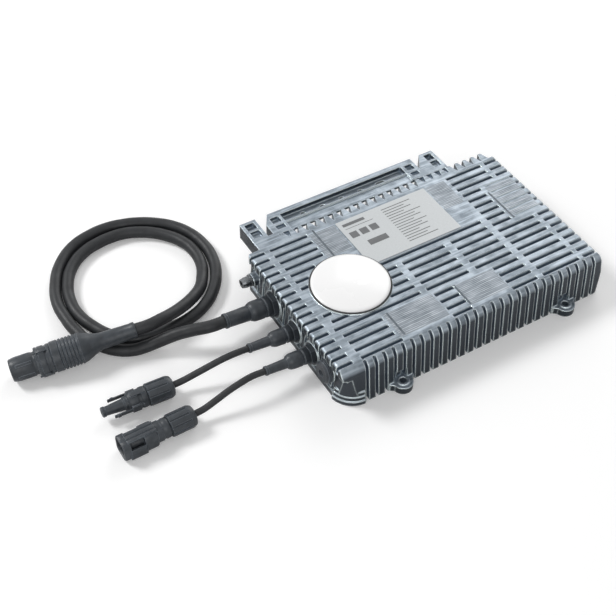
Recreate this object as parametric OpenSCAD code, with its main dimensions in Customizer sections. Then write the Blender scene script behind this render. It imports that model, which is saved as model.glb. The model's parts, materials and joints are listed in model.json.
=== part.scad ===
// Solar microinverter: a finned die-cast housing with a mounting flange along
// its back, three cable glands on its left side, an output cable that ends in a
// round connector, and two panel leads that end in latching connectors.
// The frame: X runs along the fins, Y points to the flange, Z is up, and the
// origin is under the middle of the housing, on the surface that it lies on.

/* [Housing] */
// Length over the tips of the top fins, along X
body_w = 260; // [250:1:280]
// Depth from the front ribs to the back wall, along Y, at the top
body_d = 153; // [150:1:170]
// Height from the base to the top of the fins
body_h = 41; // [40:1:50]
// How far the front and right walls lean out at the base
draft = 3.5; // [1:0.5:5]
// Lean of the left wall and of the glands on it, in degrees
wall_tilt = 5; // [0:0.5:8]
// How far the left finger ends of the fins stand out over the wall
finger_out = 3; // [1:0.5:5]
// Radius of the shoulder along the front
shoulder_r = 9; // [5:0.5:12]
// Radius of the plain corner at the front left
corner_r = 20; // [14:1:24]
// Thickness of the roof under the grooves
roof_t = 3; // [2:0.5:5]

/* [Fins and ribs] */
// Spacing of the top fins
fin_pitch = 8.7; // [8:0.1:9.5]
// Width of the grooves between the top fins
groove_w = 2.7; // [2:0.1:4]
// Depth of the grooves between the top fins
groove_depth = 6.5; // [4:0.5:8]
// How far the upper edges of the fins are cut back
fin_edge = 0.8; // [0.4:0.1:1]
// Spacing of the ribs on the front and back walls
rib_pitch = 8.8; // [8:0.1:10]
// Thickness of a rib on the front and back walls
rib_t = 6; // [5:0.1:6.5]
// Depth of the grooves between the front ribs
rib_depth = 6; // [3:0.5:7]
// How far the back ribs stand out
back_rib_out = 10; // [6:0.5:12]

/* [Mounting] */
// Thickness of the flange
flange_t = 15; // [10:0.5:18]
// Reach of the flange behind the back wall
flange_out = 35.5; // [30:0.5:45]
// Diameter of the small holes in the rail
rail_hole_d = 5; // [3:0.1:6]
// Spacing of the small holes in the rail
rail_hole_pitch = 20; // [18:0.5:24]
// Width of the open slot between the left ear and the rail
slot_w = 5.2; // [4.5:0.1:7]
// Distance between the two front lugs
lug_spacing = 167; // [150:1:185]
// Radius of a front lug
lug_r = 8.5; // [7.5:0.5:11]
// Thickness of a front lug
lug_t = 7; // [5:0.5:10]
// Diameter of the hole in a front lug
lug_hole_d = 6; // [5:0.1:7]
// Height of the recess for a bolt head over a front lug
lug_recess = 9; // [6:0.5:12]

/* [Cover] */
// Thickness of the bottom cover
cover_t = 2; // [1.5:0.1:3]
// Thickness of the flat gasket over the cover
gasket_t = 1; // [0.8:0.1:1.5]
// Thickness of the side wall between the cavity and the grooves
wall_t = 7; // [6.5:0.5:9]
// Diameter of the thread of the cover screws
cover_screw_d = 3; // [2.5:0.5:3.5]

/* [Top details] */
// Radius of the round badge
badge_r = 33.2; // [28:0.1:36]
// Thickness of the badge at its edge
badge_t = 1.6; // [1:0.1:3]
// Rise of the badge's domed face
badge_dome = 1.8; // [0.5:0.1:4]
// Width of the rating plate
plate_w = 93; // [70:1:100]
// Depth of the rating plate
plate_d = 58; // [45:1:60]
// Thickness of the rating plate
plate_t = 0.5; // [0.3:0.1:1]

/* [Cables] */
// Diameter of the output cable
ac_d = 10.5; // [9:0.1:11]
// Diameter of a panel lead
dc_d = 5.5; // [4.8:0.1:6]
// Height of the gland axes at the wall
gland_z = 16.5; // [15:0.5:18]
// Clearance between a cable and what it passes through
cable_fit = 0.15; // [0.1:0.05:0.3]
// Length of the output gland and its sleeve outside the wall
ac_gland_len = 46; // [40:1:55]
// Length of a panel lead's gland and its sleeve outside the wall
dc_gland_len = 43; // [38:1:50]

/* [Connectors] */
// Radius of the round connector's grip
ac_grip_r = 13; // [12:0.5:14]
// Radius of the nuts of the panel connectors
dc_nut_r = 9.4; // [9:0.1:10]
// Length of the nuts of the panel connectors
dc_nut_len = 22; // [18:1:25]
// Side of the square socket housing
dc_socket_side = 17.6; // [16:0.1:18.4]

/* [Board] */
// Thickness of the circuit board
pcb_t = 1.6; // [1:0.1:2.4]
// Height of the board's lower face over the base
pcb_z = 7; // [6:0.5:8]

/* [Hidden] */
$fn = 48;
eps = 0.01;
big = 400;
// Running gap between pieces that are put together with a little play
play = 0.1;

// Walls
front_y = -body_d / 2;
back_y = body_d / 2;
left_tip = -body_w / 2;
right_x = body_w / 2;
left_wall = left_tip + finger_out;
skirt_h = 6;
fin_floor = body_h - groove_depth;
roof_z = fin_floor - roof_t;
finger_h = 8;

// Cavity
rebate = cover_t + gasket_t;
cav_x0 = left_wall + 9;
cav_x1 = right_x - 5 - wall_t;
cav_y0 = front_y + rib_depth + wall_t - 0.5;
cav_y1 = back_y - wall_t;
seat_w = 6.2;
cover_gap = 0.3;

// Flange
flange_y = back_y + flange_out;
rail_y = back_y + back_rib_out;
flange_z = body_h - flange_t;
rail_x0 = left_tip + 32;
rail_x1 = rail_x0 + 158;
ear_w = 15;
ear_x0 = rail_x0 - slot_w - ear_w;
ear2_x0 = rail_x1 + 8;
ear2_x1 = ear2_x0 + 16;
rail_floor_z = body_h - 5;
rail_skin = 1.5;
rail_lip = 4;
web_z = body_h - 9;
rim = 5;

// Lugs
lug_x = [-75, -75 + lug_spacing];
lug_y = front_y - draft - 1.5;

// The screw on the left wall and the reach of the whole housing
earth_y = 67;
earth_z = 20;
earth_reach = 14.5;
left_reach = left_wall - earth_reach;
centre_x = (left_reach + right_x + draft) / 2;
centre_y = (lug_y - lug_r + flange_y) / 2;

// Glands: their places along Y, rear one of the panel leads first
ac_y = 36;
dc_y = [0.5, -27];
ac_thread_r = 8;
dc_thread_r = 6;
boss_len = 13;
hex_t = 4;
cap_len = 24;
locknut_t = 3;
tail_len = 20;
axis_x = left_wall;

// Moves a piece from the casting's own centre to the finished part's origin.
module placed() {
    translate([-centre_x, -centre_y, 0]) children();
}

// Extrudes a profile drawn in Y and Z along X.
module along_x(x0, x1) {
    translate([x0, 0, 0]) rotate([90, 0, 90]) linear_extrude(x1 - x0) children();
}

// Extrudes a profile drawn in X and Z along Y.
module along_y(y0, y1) {
    translate([0, y1, 0]) rotate([90, 0, 0]) linear_extrude(y1 - y0) children();
}

// A flat box between two corners.
module block(a, b) {
    translate(a) cube(b - a);
}

// The part of a square at a corner that a round of radius r leaves outside.
module corner_waste(r, turn) {
    rotate(turn) difference() {
        translate([-eps, -eps]) square(r + eps);
        translate([r, r]) circle(r);
    }
}

// An outline with its own radius at each corner, front left first, counted on.
module plan(x0, x1, y0, y1, r) {
    difference() {
        translate([x0, y0]) square([x1 - x0, y1 - y0]);
        translate([x0, y0]) corner_waste(r[0], 0);
        translate([x1, y0]) corner_waste(r[1], 90);
        translate([x1, y1]) corner_waste(r[2], 180);
        translate([x0, y1]) corner_waste(r[3], 270);
    }
}

module ring(r_out, r_in, h) {
    difference() {
        cylinder(h = h, r = r_out);
        translate([0, 0, -1]) cylinder(h = h + 2, r = r_in);
    }
}

/* The housing's top grooves. A row is a groove line between two fins, counted
   from the back, and a run is where the groove is open between two bridges. */
function row_y(i) = back_y - 5 - i * fin_pitch;
rows = floor((body_d - shoulder_r) / fin_pitch) + 1;
run_l = left_tip + 19;
run_r = right_x - 19;
end_cut = 14;
runs = [
    [[0, 1, 2, 3], run_l, -74], [[4], run_l, -87], [[5], run_l, -98], [[6, 10], run_l, -103],
    [[11], run_l + 3, -88], [[12], run_l, -28], [[13, 14, 15], run_l + 3, -71],
    [[16], run_l + 3, -69], [[7], -38, 66], [[8, 9], -40, -28], [[10], -43, -28],
    [[11], -52, -28], [[8, 9, 10, 11, 12], -22, 21], [[8, 9, 10, 11, 12], 28, 66],
    [[13, 14, 15, 16], -20, -1], [[13, 14, 15, 16], 40, 66],
    [[0, 1, 2, 9, 10, 11, 12, 13, 14, 15, 16], 72, run_r], [[3, 4, 5, 6, 7, 8], 72, 92]
];
pad_rows = [3, 8];
pad_x = 95;
lines = [[-67.5, 38, 75], [-65.5, -65, -38], [-0.5, -65, -40], [94, 0, 38]];
line_w = 1.2;
line_depth = 0.8;

// One groove, with the edges of the fins beside it cut back.
module groove(x0, x1, i) {
    w = groove_w / 2;
    along_x(x0, x1) translate([row_y(i), 0]) polygon([
        [-w, fin_floor], [w, fin_floor], [w, body_h - fin_edge], [w + fin_edge + 1, body_h + 1],
        [-w - fin_edge - 1, body_h + 1], [-w, body_h - fin_edge]
    ]);
}

module top_grooves() {
    for (run = runs, i = run[0]) groove(run[1], run[2], i);
    for (i = [0:rows - 1]) {
        groove(left_tip - 9, left_tip + end_cut, i);
        groove(i >= pad_rows[0] && i <= pad_rows[1] ? right_x - 5 : right_x - end_cut - 1, right_x + 9, i);
    }
    for (l = lines)
        block([l[0], l[1], body_h - line_depth], [l[0] + line_w, l[2], body_h + 1]);
    for (i = [pad_rows[0]:pad_rows[1]])
        block([pad_x + 2, row_y(i) - groove_w / 2, body_h - line_depth],
              [right_x - 5 + eps, row_y(i) + groove_w / 2, body_h + 1]);
}

rib_x0 = left_tip + 18.6;
front_ribs = floor((right_x - 9 - rib_x0) / rib_pitch) + 1;
rib_floor_y = front_y + rib_depth;

// At the foot the grooves leave a thin wall round the cover's recess.
foot_wall = 1.5;
module front_grooves() {
    for (i = [0:front_ribs - 1]) {
        x0 = rib_x0 + i * rib_pitch + rib_t / 2;
        x1 = min(rib_x0 + (i + 1) * rib_pitch - rib_t / 2, right_x - 4);
        block([x0, front_y - draft - 3, -1], [x1, rib_floor_y - foot_wall, body_h + 1]);
        block([x0, front_y - draft - 3, rebate + 1], [x1, rib_floor_y, body_h + 1]);
    }
}

module side_grooves() {
    for (i = [0:rows - 1])
        block([right_x - 5, row_y(i) - groove_w / 2, rebate + 1],
              [right_x + draft + 3, row_y(i) + groove_w / 2, fin_floor + eps]);
    for (i = [0:rows - 2])
        block([left_tip - 9, row_y(i) - groove_w / 2, skirt_h + 1],
              [left_wall + 2.5, row_y(i) + groove_w / 2, fin_floor + eps]);
}

// The back ribs are teeth that narrow towards the rail.
rib_tip = 2;
rib_round = 2;
module back_ribs() {
    x0 = rib_x0 + 2.2;
    n = floor((right_x - 8 - x0) / rib_pitch) + 1;
    root = rib_t / 2 + 0.9 + 4 * (rib_t / 2 + 0.9 - rib_tip / 2) / back_rib_out;
    intersection() {
        linear_extrude(body_h) for (i = [0:n - 1]) translate([x0 + i * rib_pitch, 0])
            polygon([[-root, back_y - 4], [root, back_y - 4], [rib_tip / 2, rail_y], [-rib_tip / 2, rail_y]]);
        along_x(x0 - rib_pitch, right_x) difference() {
            translate([back_y - 5, 0]) square([back_rib_out + 5, body_h]);
            translate([rail_y, body_h]) corner_waste(rib_round, 180);
        }
    }
}

module side_profile() {
    c = [front_y + shoulder_r, body_h - shoulder_r];
    polygon([[front_y - draft, 0], [back_y + 1, 0], [back_y, body_h], [c[0], body_h], c, [front_y, c[1]]]);
    translate(c) circle(shoulder_r);
}

module end_profile() {
    tip_r = 3;
    z1 = body_h - finger_h;
    lean = (z1 - 2 - skirt_h) * tan(wall_tilt);
    polygon([
        [left_wall - 1.5 - lean / 2, 0], [left_wall - 1.5 - lean / 2, skirt_h],
        [left_wall - lean / 2, skirt_h + 1.5], [left_wall + lean / 2, z1 - 2],
        [left_tip, z1], [left_tip, body_h - tip_r], [left_tip + tip_r, body_h - tip_r],
        [left_tip + tip_r, body_h], [right_x - tip_r, body_h], [right_x - tip_r, body_h - tip_r],
        [right_x, body_h - tip_r], [right_x + draft, 0]
    ]);
    for (x = [left_tip + tip_r, right_x - tip_r]) translate([x, body_h - tip_r]) circle(tip_r);
}

module shell_block() {
    intersection() {
        along_x(left_tip - 9, right_x + 9) side_profile();
        along_y(front_y - 9, back_y + 9) end_profile();
        union() {
            linear_extrude(body_h - finger_h)
                plan(left_wall - 3, right_x + draft, front_y - draft, back_y + 1, [corner_r, 8, 5, 5]);
            translate([0, 0, body_h - finger_h - 3]) linear_extrude(finger_h + 3)
                plan(left_tip, right_x + draft, front_y - draft, back_y + 1, [6, 8, 5, 5]);
        }
    }
}

// Three curved steps round the foot of the plain corner.
module corner_steps() {
    for (i = [0:2])
        intersection() {
            translate([left_wall - 3 + corner_r, front_y - draft + corner_r, 0])
                cylinder(h = 4.5 * (i + 1), r = corner_r + 1.5 - i * 0.9);
            block([left_wall - 6, front_y - draft - 3, 0], [left_wall - 3 + corner_r, front_y + 13, 20]);
        }
}

// Frame of a gland: Z along its axis, out of the wall, from the boss's face.
module in_gland(y) {
    translate([axis_x, y, gland_z]) rotate([0, wall_tilt - 90, 0]) translate([0, 0, 1.5]) children();
}

module at_gland(y) {
    placed() in_gland(y) children();
}

module gland_bosses() {
    in_gland(ac_y) translate([0, 0, -boss_len]) cylinder(h = boss_len, r = ac_thread_r + 4.5);
    for (y = dc_y) in_gland(y) translate([0, 0, -boss_len]) cylinder(h = boss_len, r = dc_thread_r + 4.5);
}

module gland_bores() {
    in_gland(ac_y) translate([0, 0, -boss_len - 5]) cylinder(h = boss_len + 9, r = ac_thread_r + play);
    for (y = dc_y)
        in_gland(y) translate([0, 0, -boss_len - 5]) cylinder(h = boss_len + 9, r = dc_thread_r + play);
}

vent_y = front_y + 26;
vent_z = 19;
vent_r = 9.5;
vent_bore_r = 5;
module in_vent() {
    translate([axis_x, vent_y, vent_z]) rotate([0, wall_tilt - 90, 0]) translate([0, 0, 0.5]) children();
}
earth_r = 2.5;
module in_earth() {
    translate([left_wall, earth_y, earth_z]) rotate([0, -90, 0]) children();
}

// Mounting flange: a rail with a sunk channel between two ears.
notch_y = rail_y + 1.5;
module rail_outline() {
    polygon([
        [rail_x0, back_y], [rail_x0, rail_y + 14], [rail_x0 + 7, flange_y],
        [rail_x1, flange_y], [rail_x1, back_y]
    ]);
}
module ears_outline() {
    translate([ear_x0, back_y - 4]) square([ear_w, flange_out + 4]);
    polygon([
        [rail_x1 - 1, back_y - 4], [rail_x1 - 1, rail_y + 9], [rail_x1, rail_y + 9],
        [ear2_x0 + 2, flange_y], [ear2_x1, flange_y], [ear2_x1, back_y - 4]
    ]);
    translate([ear_x0, back_y - 4]) square([slot_w + ear_w + 2, notch_y - back_y + 4]);
}
window_x = [rail_x0 + 20, rail_x1 - 8];
rail_hole_y = rail_y + 15;
rail_holes = [for (i = [0:3]) rail_x0 + 38 + i * rail_hole_pitch];
end_hole_x = rail_x0 + 38 + 4 * rail_hole_pitch + 1.5;

module flange() {
    difference() {
        union() {
            translate([0, 0, flange_z]) linear_extrude(flange_t) difference() {
                rail_outline();
                translate([window_x[0], back_y - 1]) square([window_x[1] - window_x[0], back_rib_out + 1]);
            }
            translate([0, 0, flange_z]) linear_extrude(flange_t) ears_outline();
        }
        // the web between the housing and the rail is lower than the rail
        block([rail_x0 + 4, back_y + 2, web_z + 6], [window_x[0] + eps, rail_y - 1, body_h + 1]);
        block([window_x[1] - eps, back_y + 2, web_z + 6], [ear2_x1 - 3, rail_y - 1, body_h + 1]);
        // ledge, channel and end pockets of the rail
        block([rail_x0 + 17, rail_y - 1, body_h - 1.6], [rail_x1 - 14, rail_y + 9.5, body_h + 1]);
        block([rail_x0 + 17, rail_y + 10.7, rail_floor_z], [rail_x1 - 14, flange_y - rim, body_h + 1]);
        for (x = [[rail_x0 + 6, rail_x0 + 14.5], [rail_x1 - 11, rail_x1 - 3]]) {
            block([x[0], rail_y + 4, body_h - 3], [x[1], rail_y + 9, body_h + 1]);
            block([x[0], rail_y + 12, body_h - 4], [x[1], flange_y - 6, body_h + 1]);
        }
        // pockets of the ears
        for (x = [[ear_x0 + 3, ear_x0 + ear_w - 3], [ear2_x0 + 5, ear2_x1 - 3]]) {
            block([x[0], rail_y + 14.5, body_h - 5], [x[1], flange_y - 2.6, body_h + 1]);
            block([x[0], rail_y + 4, body_h - 3.5], [x[1], rail_y + 12.5, body_h + 1]);
        }
        // the underside of the rail is hollow
        block([rail_x0 + 10, rail_y + 3, flange_z - 1],
              [rail_x1 - 3, flange_y - 2, rail_floor_z - rail_skin]);
        // and open towards the teeth of the back wall
        block([window_x[0], rail_y - 1, flange_z - 1], [window_x[1], rail_y + 3 + eps, body_h - rail_lip]);
        for (x = rail_holes)
            translate([x, rail_hole_y, 0]) cylinder(h = big, d = rail_hole_d);
        for (x = [-2.6, 2.6])
            translate([end_hole_x + x, rail_hole_y, 0]) cylinder(h = big, d = rail_hole_d);
        block([end_hole_x - 2.6, rail_hole_y - rail_hole_d / 2, 0],
              [end_hole_x + 2.6, rail_hole_y + rail_hole_d / 2, body_h + 1]);
    }
}

lug_root = lug_r + 3;
module lugs() {
    for (x = lug_x) {
        translate([x, lug_y, 0]) cylinder(h = lug_t, r = lug_r);
        translate([x, lug_y, 0]) cylinder(h = lug_t + 0.8, r = lug_hole_d / 2 + 2.2);
        linear_extrude(lug_t) polygon([
            [x - lug_root, rib_floor_y], [x - lug_root, lug_y + 1], [x - 0.75 * lug_r, lug_y - 0.35 * lug_r],
            [x + 0.75 * lug_r, lug_y - 0.35 * lug_r], [x + lug_root, lug_y + 1], [x + lug_root, rib_floor_y]
        ]);
    }
}

module lug_recesses() {
    for (x = lug_x)
        translate([x, lug_y, lug_t]) cylinder(h = lug_recess, r = lug_hole_d / 2 + 3.2);
}

// Places in the cavity are counted from its own walls.
function from_left(d) = cav_x0 + d;
function from_right(d) = cav_x1 - d;
function from_front(d) = cav_y0 + d;
function from_back(d) = cav_y1 - d;

// Places of the screws round the bottom cover.
screw_line_x = [cav_x0 - 3.1, cav_x1 + 3.1];
screw_line_y = [cav_y0 - 3.1, cav_y1 + 3.1];
screw_xy = concat(
    [for (x = [from_left(28), from_left(88), from_right(88), from_right(28)], y = screw_line_y) [x, y]],
    [for (x = screw_line_x, y = [from_front(8), from_front(80), from_back(9.5)]) [x, y]]);
screw_head_r = cover_screw_d - 0.3;
screw_depth = 9;

// Board stand-offs hang from the roof. Each holds one screw from below.
post_xy = [for (p = [[from_left(34), 0], [from_left(172), 0], [from_right(13), 0],
                     [from_left(34), 1], [from_left(128), 1], [from_right(13), 1]])
    [p[0], p[1] == 0 ? from_front(11) : from_back(13.5)]];
post_r = 4;
board_screw_r = 1.25;

// A land on the front wall carries the power transistors under a clamp bar.
land_y = cav_y0 + 2;
land_x = [from_left(42), from_left(162)];
board_z = pcb_z + pcb_t;
transistor_x = [for (i = [0:5]) from_left(52) + i * 20];
transistor_w = 15;
transistor_z = board_z + 3;
transistor_h = roof_z - 2.9 - transistor_z;
transistor_d = 4.6;
pad_t = 0.8;
clamp_t = 2;
clamp_screw_x = [for (i = [0:2]) from_left(62) + i * 40];
clamp_screw_z = transistor_z + 11;

module cavity() {
    translate([0, 0, rebate - 1]) linear_extrude(roof_z - rebate + 1)
        plan(cav_x0, cav_x1, cav_y0, cav_y1, [10, 5, 5, 5]);
    translate([0, 0, -1]) linear_extrude(rebate + 1)
        plan(cav_x0 - seat_w - cover_gap, cav_x1 + seat_w + cover_gap,
             cav_y0 - seat_w - cover_gap, cav_y1 + seat_w + cover_gap, [12, 6, 6, 6]);
}

module housing() {
    color("#8f979c") placed() difference() {
        union() {
            difference() {
                union() {
                    shell_block();
                    back_ribs();
                }
                top_grooves();
                front_grooves();
                side_grooves();
                lug_recesses();
            }
            translate([badge_at[0], badge_at[1], fin_floor])
                cylinder(h = groove_depth + seat_rise, r = badge_seat_r);
            difference() {
                union() {
                    gland_bosses();
                    in_vent() translate([0, 0, -9]) cylinder(h = 9, r = vent_r + 0.6);
                    in_earth() translate([0, 0, -4]) cylinder(h = 9, r = 6);
                }
                block([-big, -big, -big], [big, big, 0]);
            }
            corner_steps();
            flange();
            lugs();
        }
        difference() {
            cavity();
            for (p = post_xy)
                translate([p[0], p[1], pcb_z + pcb_t]) cylinder(h = big, r = post_r);
            gland_bosses();
            block([land_x[0], cav_y0 - 1, transistor_z], [land_x[1], land_y, big]);
        }
        gland_bores();
        in_vent() translate([0, 0, -16]) cylinder(h = 20, r = vent_bore_r + play);
        in_earth() translate([0, 0, -7.5]) cylinder(h = 14, r = earth_r + play);
        for (p = screw_xy)
            translate([p[0], p[1], 0]) cylinder(h = rebate + screw_depth, r = cover_screw_d / 2 + play / 2);
        for (p = post_xy)
            translate([p[0], p[1], 0]) cylinder(h = pcb_z + pcb_t + 9, r = board_screw_r + play / 2);
        for (x = clamp_screw_x)
            translate([x, land_y + 1, clamp_screw_z]) rotate([90, 0, 0]) cylinder(h = 7, r = 1.5 + play / 2);
        for (x = lug_x)
            translate([x, lug_y, -1]) cylinder(h = lug_t + 4, d = lug_hole_d);
    }
}

module cover_outline(grow) {
    plan(cav_x0 - seat_w - grow, cav_x1 + seat_w + grow, cav_y0 - seat_w - grow, cav_y1 + seat_w + grow,
         [12, 6, 6, 6]);
}

module bottom_cover() {
    color("#b3b8bb") placed() difference() {
        linear_extrude(cover_t) cover_outline(0);
        for (p = screw_xy)
            translate([p[0], p[1], -1]) cylinder(h = cover_t + 2, r = cover_screw_d / 2 + play);
        for (p = screw_xy)
            translate([p[0], p[1], -eps])
                cylinder(h = 1.5 + eps, r1 = screw_head_r + play, r2 = cover_screw_d / 2 + play);
    }
}

module cover_gasket() {
    color("#202224") placed() translate([0, 0, cover_t]) difference() {
        linear_extrude(gasket_t) cover_outline(0);
        translate([0, 0, -1]) linear_extrude(gasket_t + 2)
            plan(cav_x0, cav_x1, cav_y0, cav_y1, [10, 5, 5, 5]);
        for (p = screw_xy)
            translate([p[0], p[1], -1]) cylinder(h = gasket_t + 2, r = cover_screw_d / 2 + play);
    }
}

module cover_screws() {
    color("#c9ccce") placed() for (p = screw_xy) translate([p[0], p[1], 0]) difference() {
        union() {
            cylinder(h = 1.5, r1 = screw_head_r, r2 = cover_screw_d / 2);
            cylinder(h = rebate + screw_depth - 1, r = cover_screw_d / 2);
        }
        translate([0, 0, -eps]) cylinder(h = 1, r = 1, $fn = 6);
    }
}

badge_at = [left_tip + 57.2, front_y + 80];
seat_rise = 1;
badge_seat_r = badge_r + 1.6;
module badge() {
    dome_r = (badge_r * badge_r + badge_dome * badge_dome) / (2 * badge_dome);
    top = badge_t + badge_dome;
    color("#f4f5f5") placed() translate([badge_at[0], badge_at[1], body_h + seat_rise])
        rotate_extrude($fn = 96) intersection() {
            translate([0, top - dome_r]) circle(dome_r, $fn = 720);
            square([badge_r, top + 1]);
        }
}

plate_at = [0.5, back_y - 34];
module rating_plate() {
    color("#cfd4d7") placed() translate([0, 0, body_h]) linear_extrude(plate_t) difference() {
        translate(plate_at) plan(-plate_w / 2, plate_w / 2, -plate_d / 2, plate_d / 2, [1, 1, 1, 1]);
        translate(badge_at) circle(badge_seat_r + 0.3);
    }
}

module earth_screw() {
    color("#c9ccce") placed() in_earth() difference() {
        union() {
            translate([0, 0, -7]) cylinder(h = 14, r = earth_r);
            translate([0, 0, 6.5]) cylinder(h = 5, r = 4.7);
            translate([0, 0, 11.5]) cylinder(h = earth_reach - 11.5, r1 = 4.7, r2 = 4);
        }
        translate([0, 0, earth_reach - 2.5]) cylinder(h = 3, r = 2.3, $fn = 6);
    }
}

module earth_washer() {
    color("#b9bdc0") placed() in_earth() translate([0, 0, 5]) ring(5.6, earth_r + play, 1.5);
}

module vent_plug() {
    color("#26282a") placed() in_vent() {
        difference() {
            union() {
                cylinder(h = 4.5, r = vent_r);
                for (i = [0:2]) translate([0, 0, 0.6 + i * 1.4]) cylinder(h = 0.8, r = vent_r + 0.5);
                translate([0, 0, 4.5]) cylinder(h = 1.5, r1 = vent_r, r2 = vent_r - 1.5);
                translate([0, 0, -11]) cylinder(h = 11, r = vent_bore_r);
            }
            translate([0, 0, 4.8]) cylinder(h = 2, r = 3.2);
            translate([0, 0, -12]) cylinder(h = 14, r = vent_bore_r - 2);
        }
    }
}

// Glands. cable_r is the radius of the cable and thread_r that of the wall thread.
seat_z = 6;
tube_len = 13;
function tube_r(thread_r) = thread_r - 0.7;
module gland_body(cable_r, thread_r) {
    rotate_extrude() polygon([
        [cable_r + cable_fit, -boss_len - 5], [thread_r, -boss_len - 5], [thread_r, hex_t],
        [tube_r(thread_r), hex_t], [tube_r(thread_r), tube_len], [cable_r + 1, tube_len],
        [cable_r + 1, seat_z], [cable_r + cable_fit, seat_z]
    ]);
    difference() {
        rotate(30) cylinder(h = hex_t, r = thread_r + 3, $fn = 6);
        translate([0, 0, -1]) cylinder(h = hex_t + 2, r = thread_r - 0.5);
    }
}

module gland_seal(cable_r) {
    translate([0, 0, seat_z]) ring(cable_r + 0.95, cable_r, tube_len - seat_z + play);
}

module gland_cap(cable_r, thread_r, length) {
    r = thread_r + 0.9;
    rotate_extrude() polygon([
        [tube_r(thread_r) + play, hex_t], [r - 0.4, hex_t], [r, hex_t + 0.6], [r, hex_t + 5],
        [r - 0.5, hex_t + 5.5], [r - 0.5, hex_t + 7], [r, hex_t + 7.5], [r, cap_len - 5],
        [r - 1, cap_len - 2], [cable_r + 1.3, cap_len], [cable_r + 1, length - 3],
        [cable_r + 1.3, length - 2.5], [cable_r + 1.3, length], [cable_r + cable_fit, length],
        [cable_r + cable_fit, tube_len + play], [tube_r(thread_r) + play, tube_len + play]
    ]);
}

module gland_locknut(thread_r) {
    translate([0, 0, -boss_len - locknut_t]) difference() {
        cylinder(h = locknut_t, r = thread_r + 3, $fn = 6);
        translate([0, 0, -1]) cylinder(h = locknut_t + 2, r = thread_r);
    }
}

// The stretch of a cable that its gland holds, with its cores bared inside.
core_len = 8;
module gland_end(cable_r, core_r, cores, length) {
    translate([0, 0, -tail_len]) cylinder(h = tail_len + length, r = cable_r);
    cores_of(cable_r, core_r, cores, -tail_len - core_len);
}

module cores_of(cable_r, core_r, cores, z) {
    for (i = [0:cores - 1])
        rotate(i * 360 / cores) translate([cores > 1 ? cable_r * 0.5 : 0, 0, z])
            cylinder(h = core_len + eps, r = core_r);
}

ac_core_r = 1.4;
dc_core_r = 1.5;
module ac_gland_body() { color("#2a2c2e") at_gland(ac_y) gland_body(ac_d / 2, ac_thread_r); }
module ac_gland_cap() {
    color("#2f3234") at_gland(ac_y) gland_cap(ac_d / 2, ac_thread_r, ac_gland_len);
}
module ac_gland_seal() { color("#1c1d1e") at_gland(ac_y) gland_seal(ac_d / 2); }
module ac_gland_locknut() { color("#2a2c2e") at_gland(ac_y) gland_locknut(ac_thread_r); }
module ac_cable_gland_end() {
    color("#2b2b2d") at_gland(ac_y) gland_end(ac_d / 2, ac_core_r, 3, ac_gland_len);
}
module dc_gland_body(i) { color("#2a2c2e") at_gland(dc_y[i]) gland_body(dc_d / 2, dc_thread_r); }
module dc_gland_cap(i) {
    color("#2f3234") at_gland(dc_y[i]) gland_cap(dc_d / 2, dc_thread_r, dc_gland_len);
}
module dc_gland_seal(i) { color("#1c1d1e") at_gland(dc_y[i]) gland_seal(dc_d / 2); }
module dc_gland_locknut(i) { color("#2a2c2e") at_gland(dc_y[i]) gland_locknut(dc_thread_r); }
module dc_cable_gland_end(i) {
    color("#29282a") at_gland(dc_y[i]) gland_end(dc_d / 2, dc_core_r, 1, dc_gland_len);
}

/* Free cables. A route starts at its sleeve's end. Each further point is given
   along X and Y from there, and by the height of the cable's middle. */
axis_dir = [-cos(wall_tilt), 0, sin(wall_tilt)];
function sleeve_end(y, length) =
    [left_wall - centre_x, y - centre_y, gland_z] + (1.5 + length) * axis_dir;
function after(tip, places, low) = [for (p = places) [tip[0] + p[0], tip[1] + p[1], low + p[2]]];
function heading(turn, dip) = [-cos(dip) * cos(turn), cos(dip) * sin(turn), -sin(dip)];

ac_low = ac_d / 2;
ac_tip = sleeve_end(ac_y, ac_gland_len);
ac_dip = 5.8;
ac_turn = 10.4;
ac_sections = [[ac_grip_r, 70], [12.3, 82.7], [10, 104.2]];
ac_plug_z = max([for (q = ac_sections) q[0] * cos(ac_dip) + q[1] * sin(ac_dip)]) + 0.1;
ac_plug_at = [ac_tip[0] - 66.5, ac_tip[1] + 28.5, ac_plug_z];
ac_heading = heading(ac_turn, ac_dip);
ac_places = [
    [-26, 5, 14.8], [-38, 10.5, 11.2], [-50, 15, 6.4], [-62, 18.5, 2.5], [-73, 22, 0.4],
    [-84.5, 29, 0], [-94, 39.5, 0], [-102, 52, 0], [-106, 67, 0], [-107.5, 84, 0],
    [-107, 102, 0], [-100, 124, 0], [-86, 146, 0], [-68, 160.5, 0], [-49, 166.5, 0],
    [-33, 167.5, 0], [-18, 164.5, 0], [-4, 159, 0], [9, 150.5, 0], [21, 138.5, 0],
    [29.5, 123, 0], [33.5, 105, 0], [32.5, 85, 0], [26, 66, 0], [15, 50, 0],
    [0, 37.5, 0], [-16, 31, 0], [-36, 28.5, 0], [-55, 29.5, 0], [-71, 35.5, 0],
    [-83, 47, 0], [-91, 62, 0], [-96.5, 80, 0], [-96.5, 99, 0], [-90.5, 119.5, 0],
    [-78.5, 137.5, 0], [-62.5, 149, 0], [-47, 153.5, 0], [-34, 154.5, 0], [-21.5, 153, 0],
    [-10.5, 148.5, 0], [-0.5, 142, 0], [9, 132.5, 0], [17.5, 119.5, 0], [22, 103.5, 0],
    [20.5, 83.5, 0], [13, 67, 0.8], [5, 55.5, 2.8], [-7, 45.5, 5.8], [-21, 37, 9.8],
    [-33, 31.5, 13.2], [-45, 28, 15.8]
];
ac_route = concat([ac_tip, ac_tip + 13 * axis_dir], after(ac_tip, ac_places, ac_low),
                  [ac_plug_at - 11.5 * ac_heading, ac_plug_at]);

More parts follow.
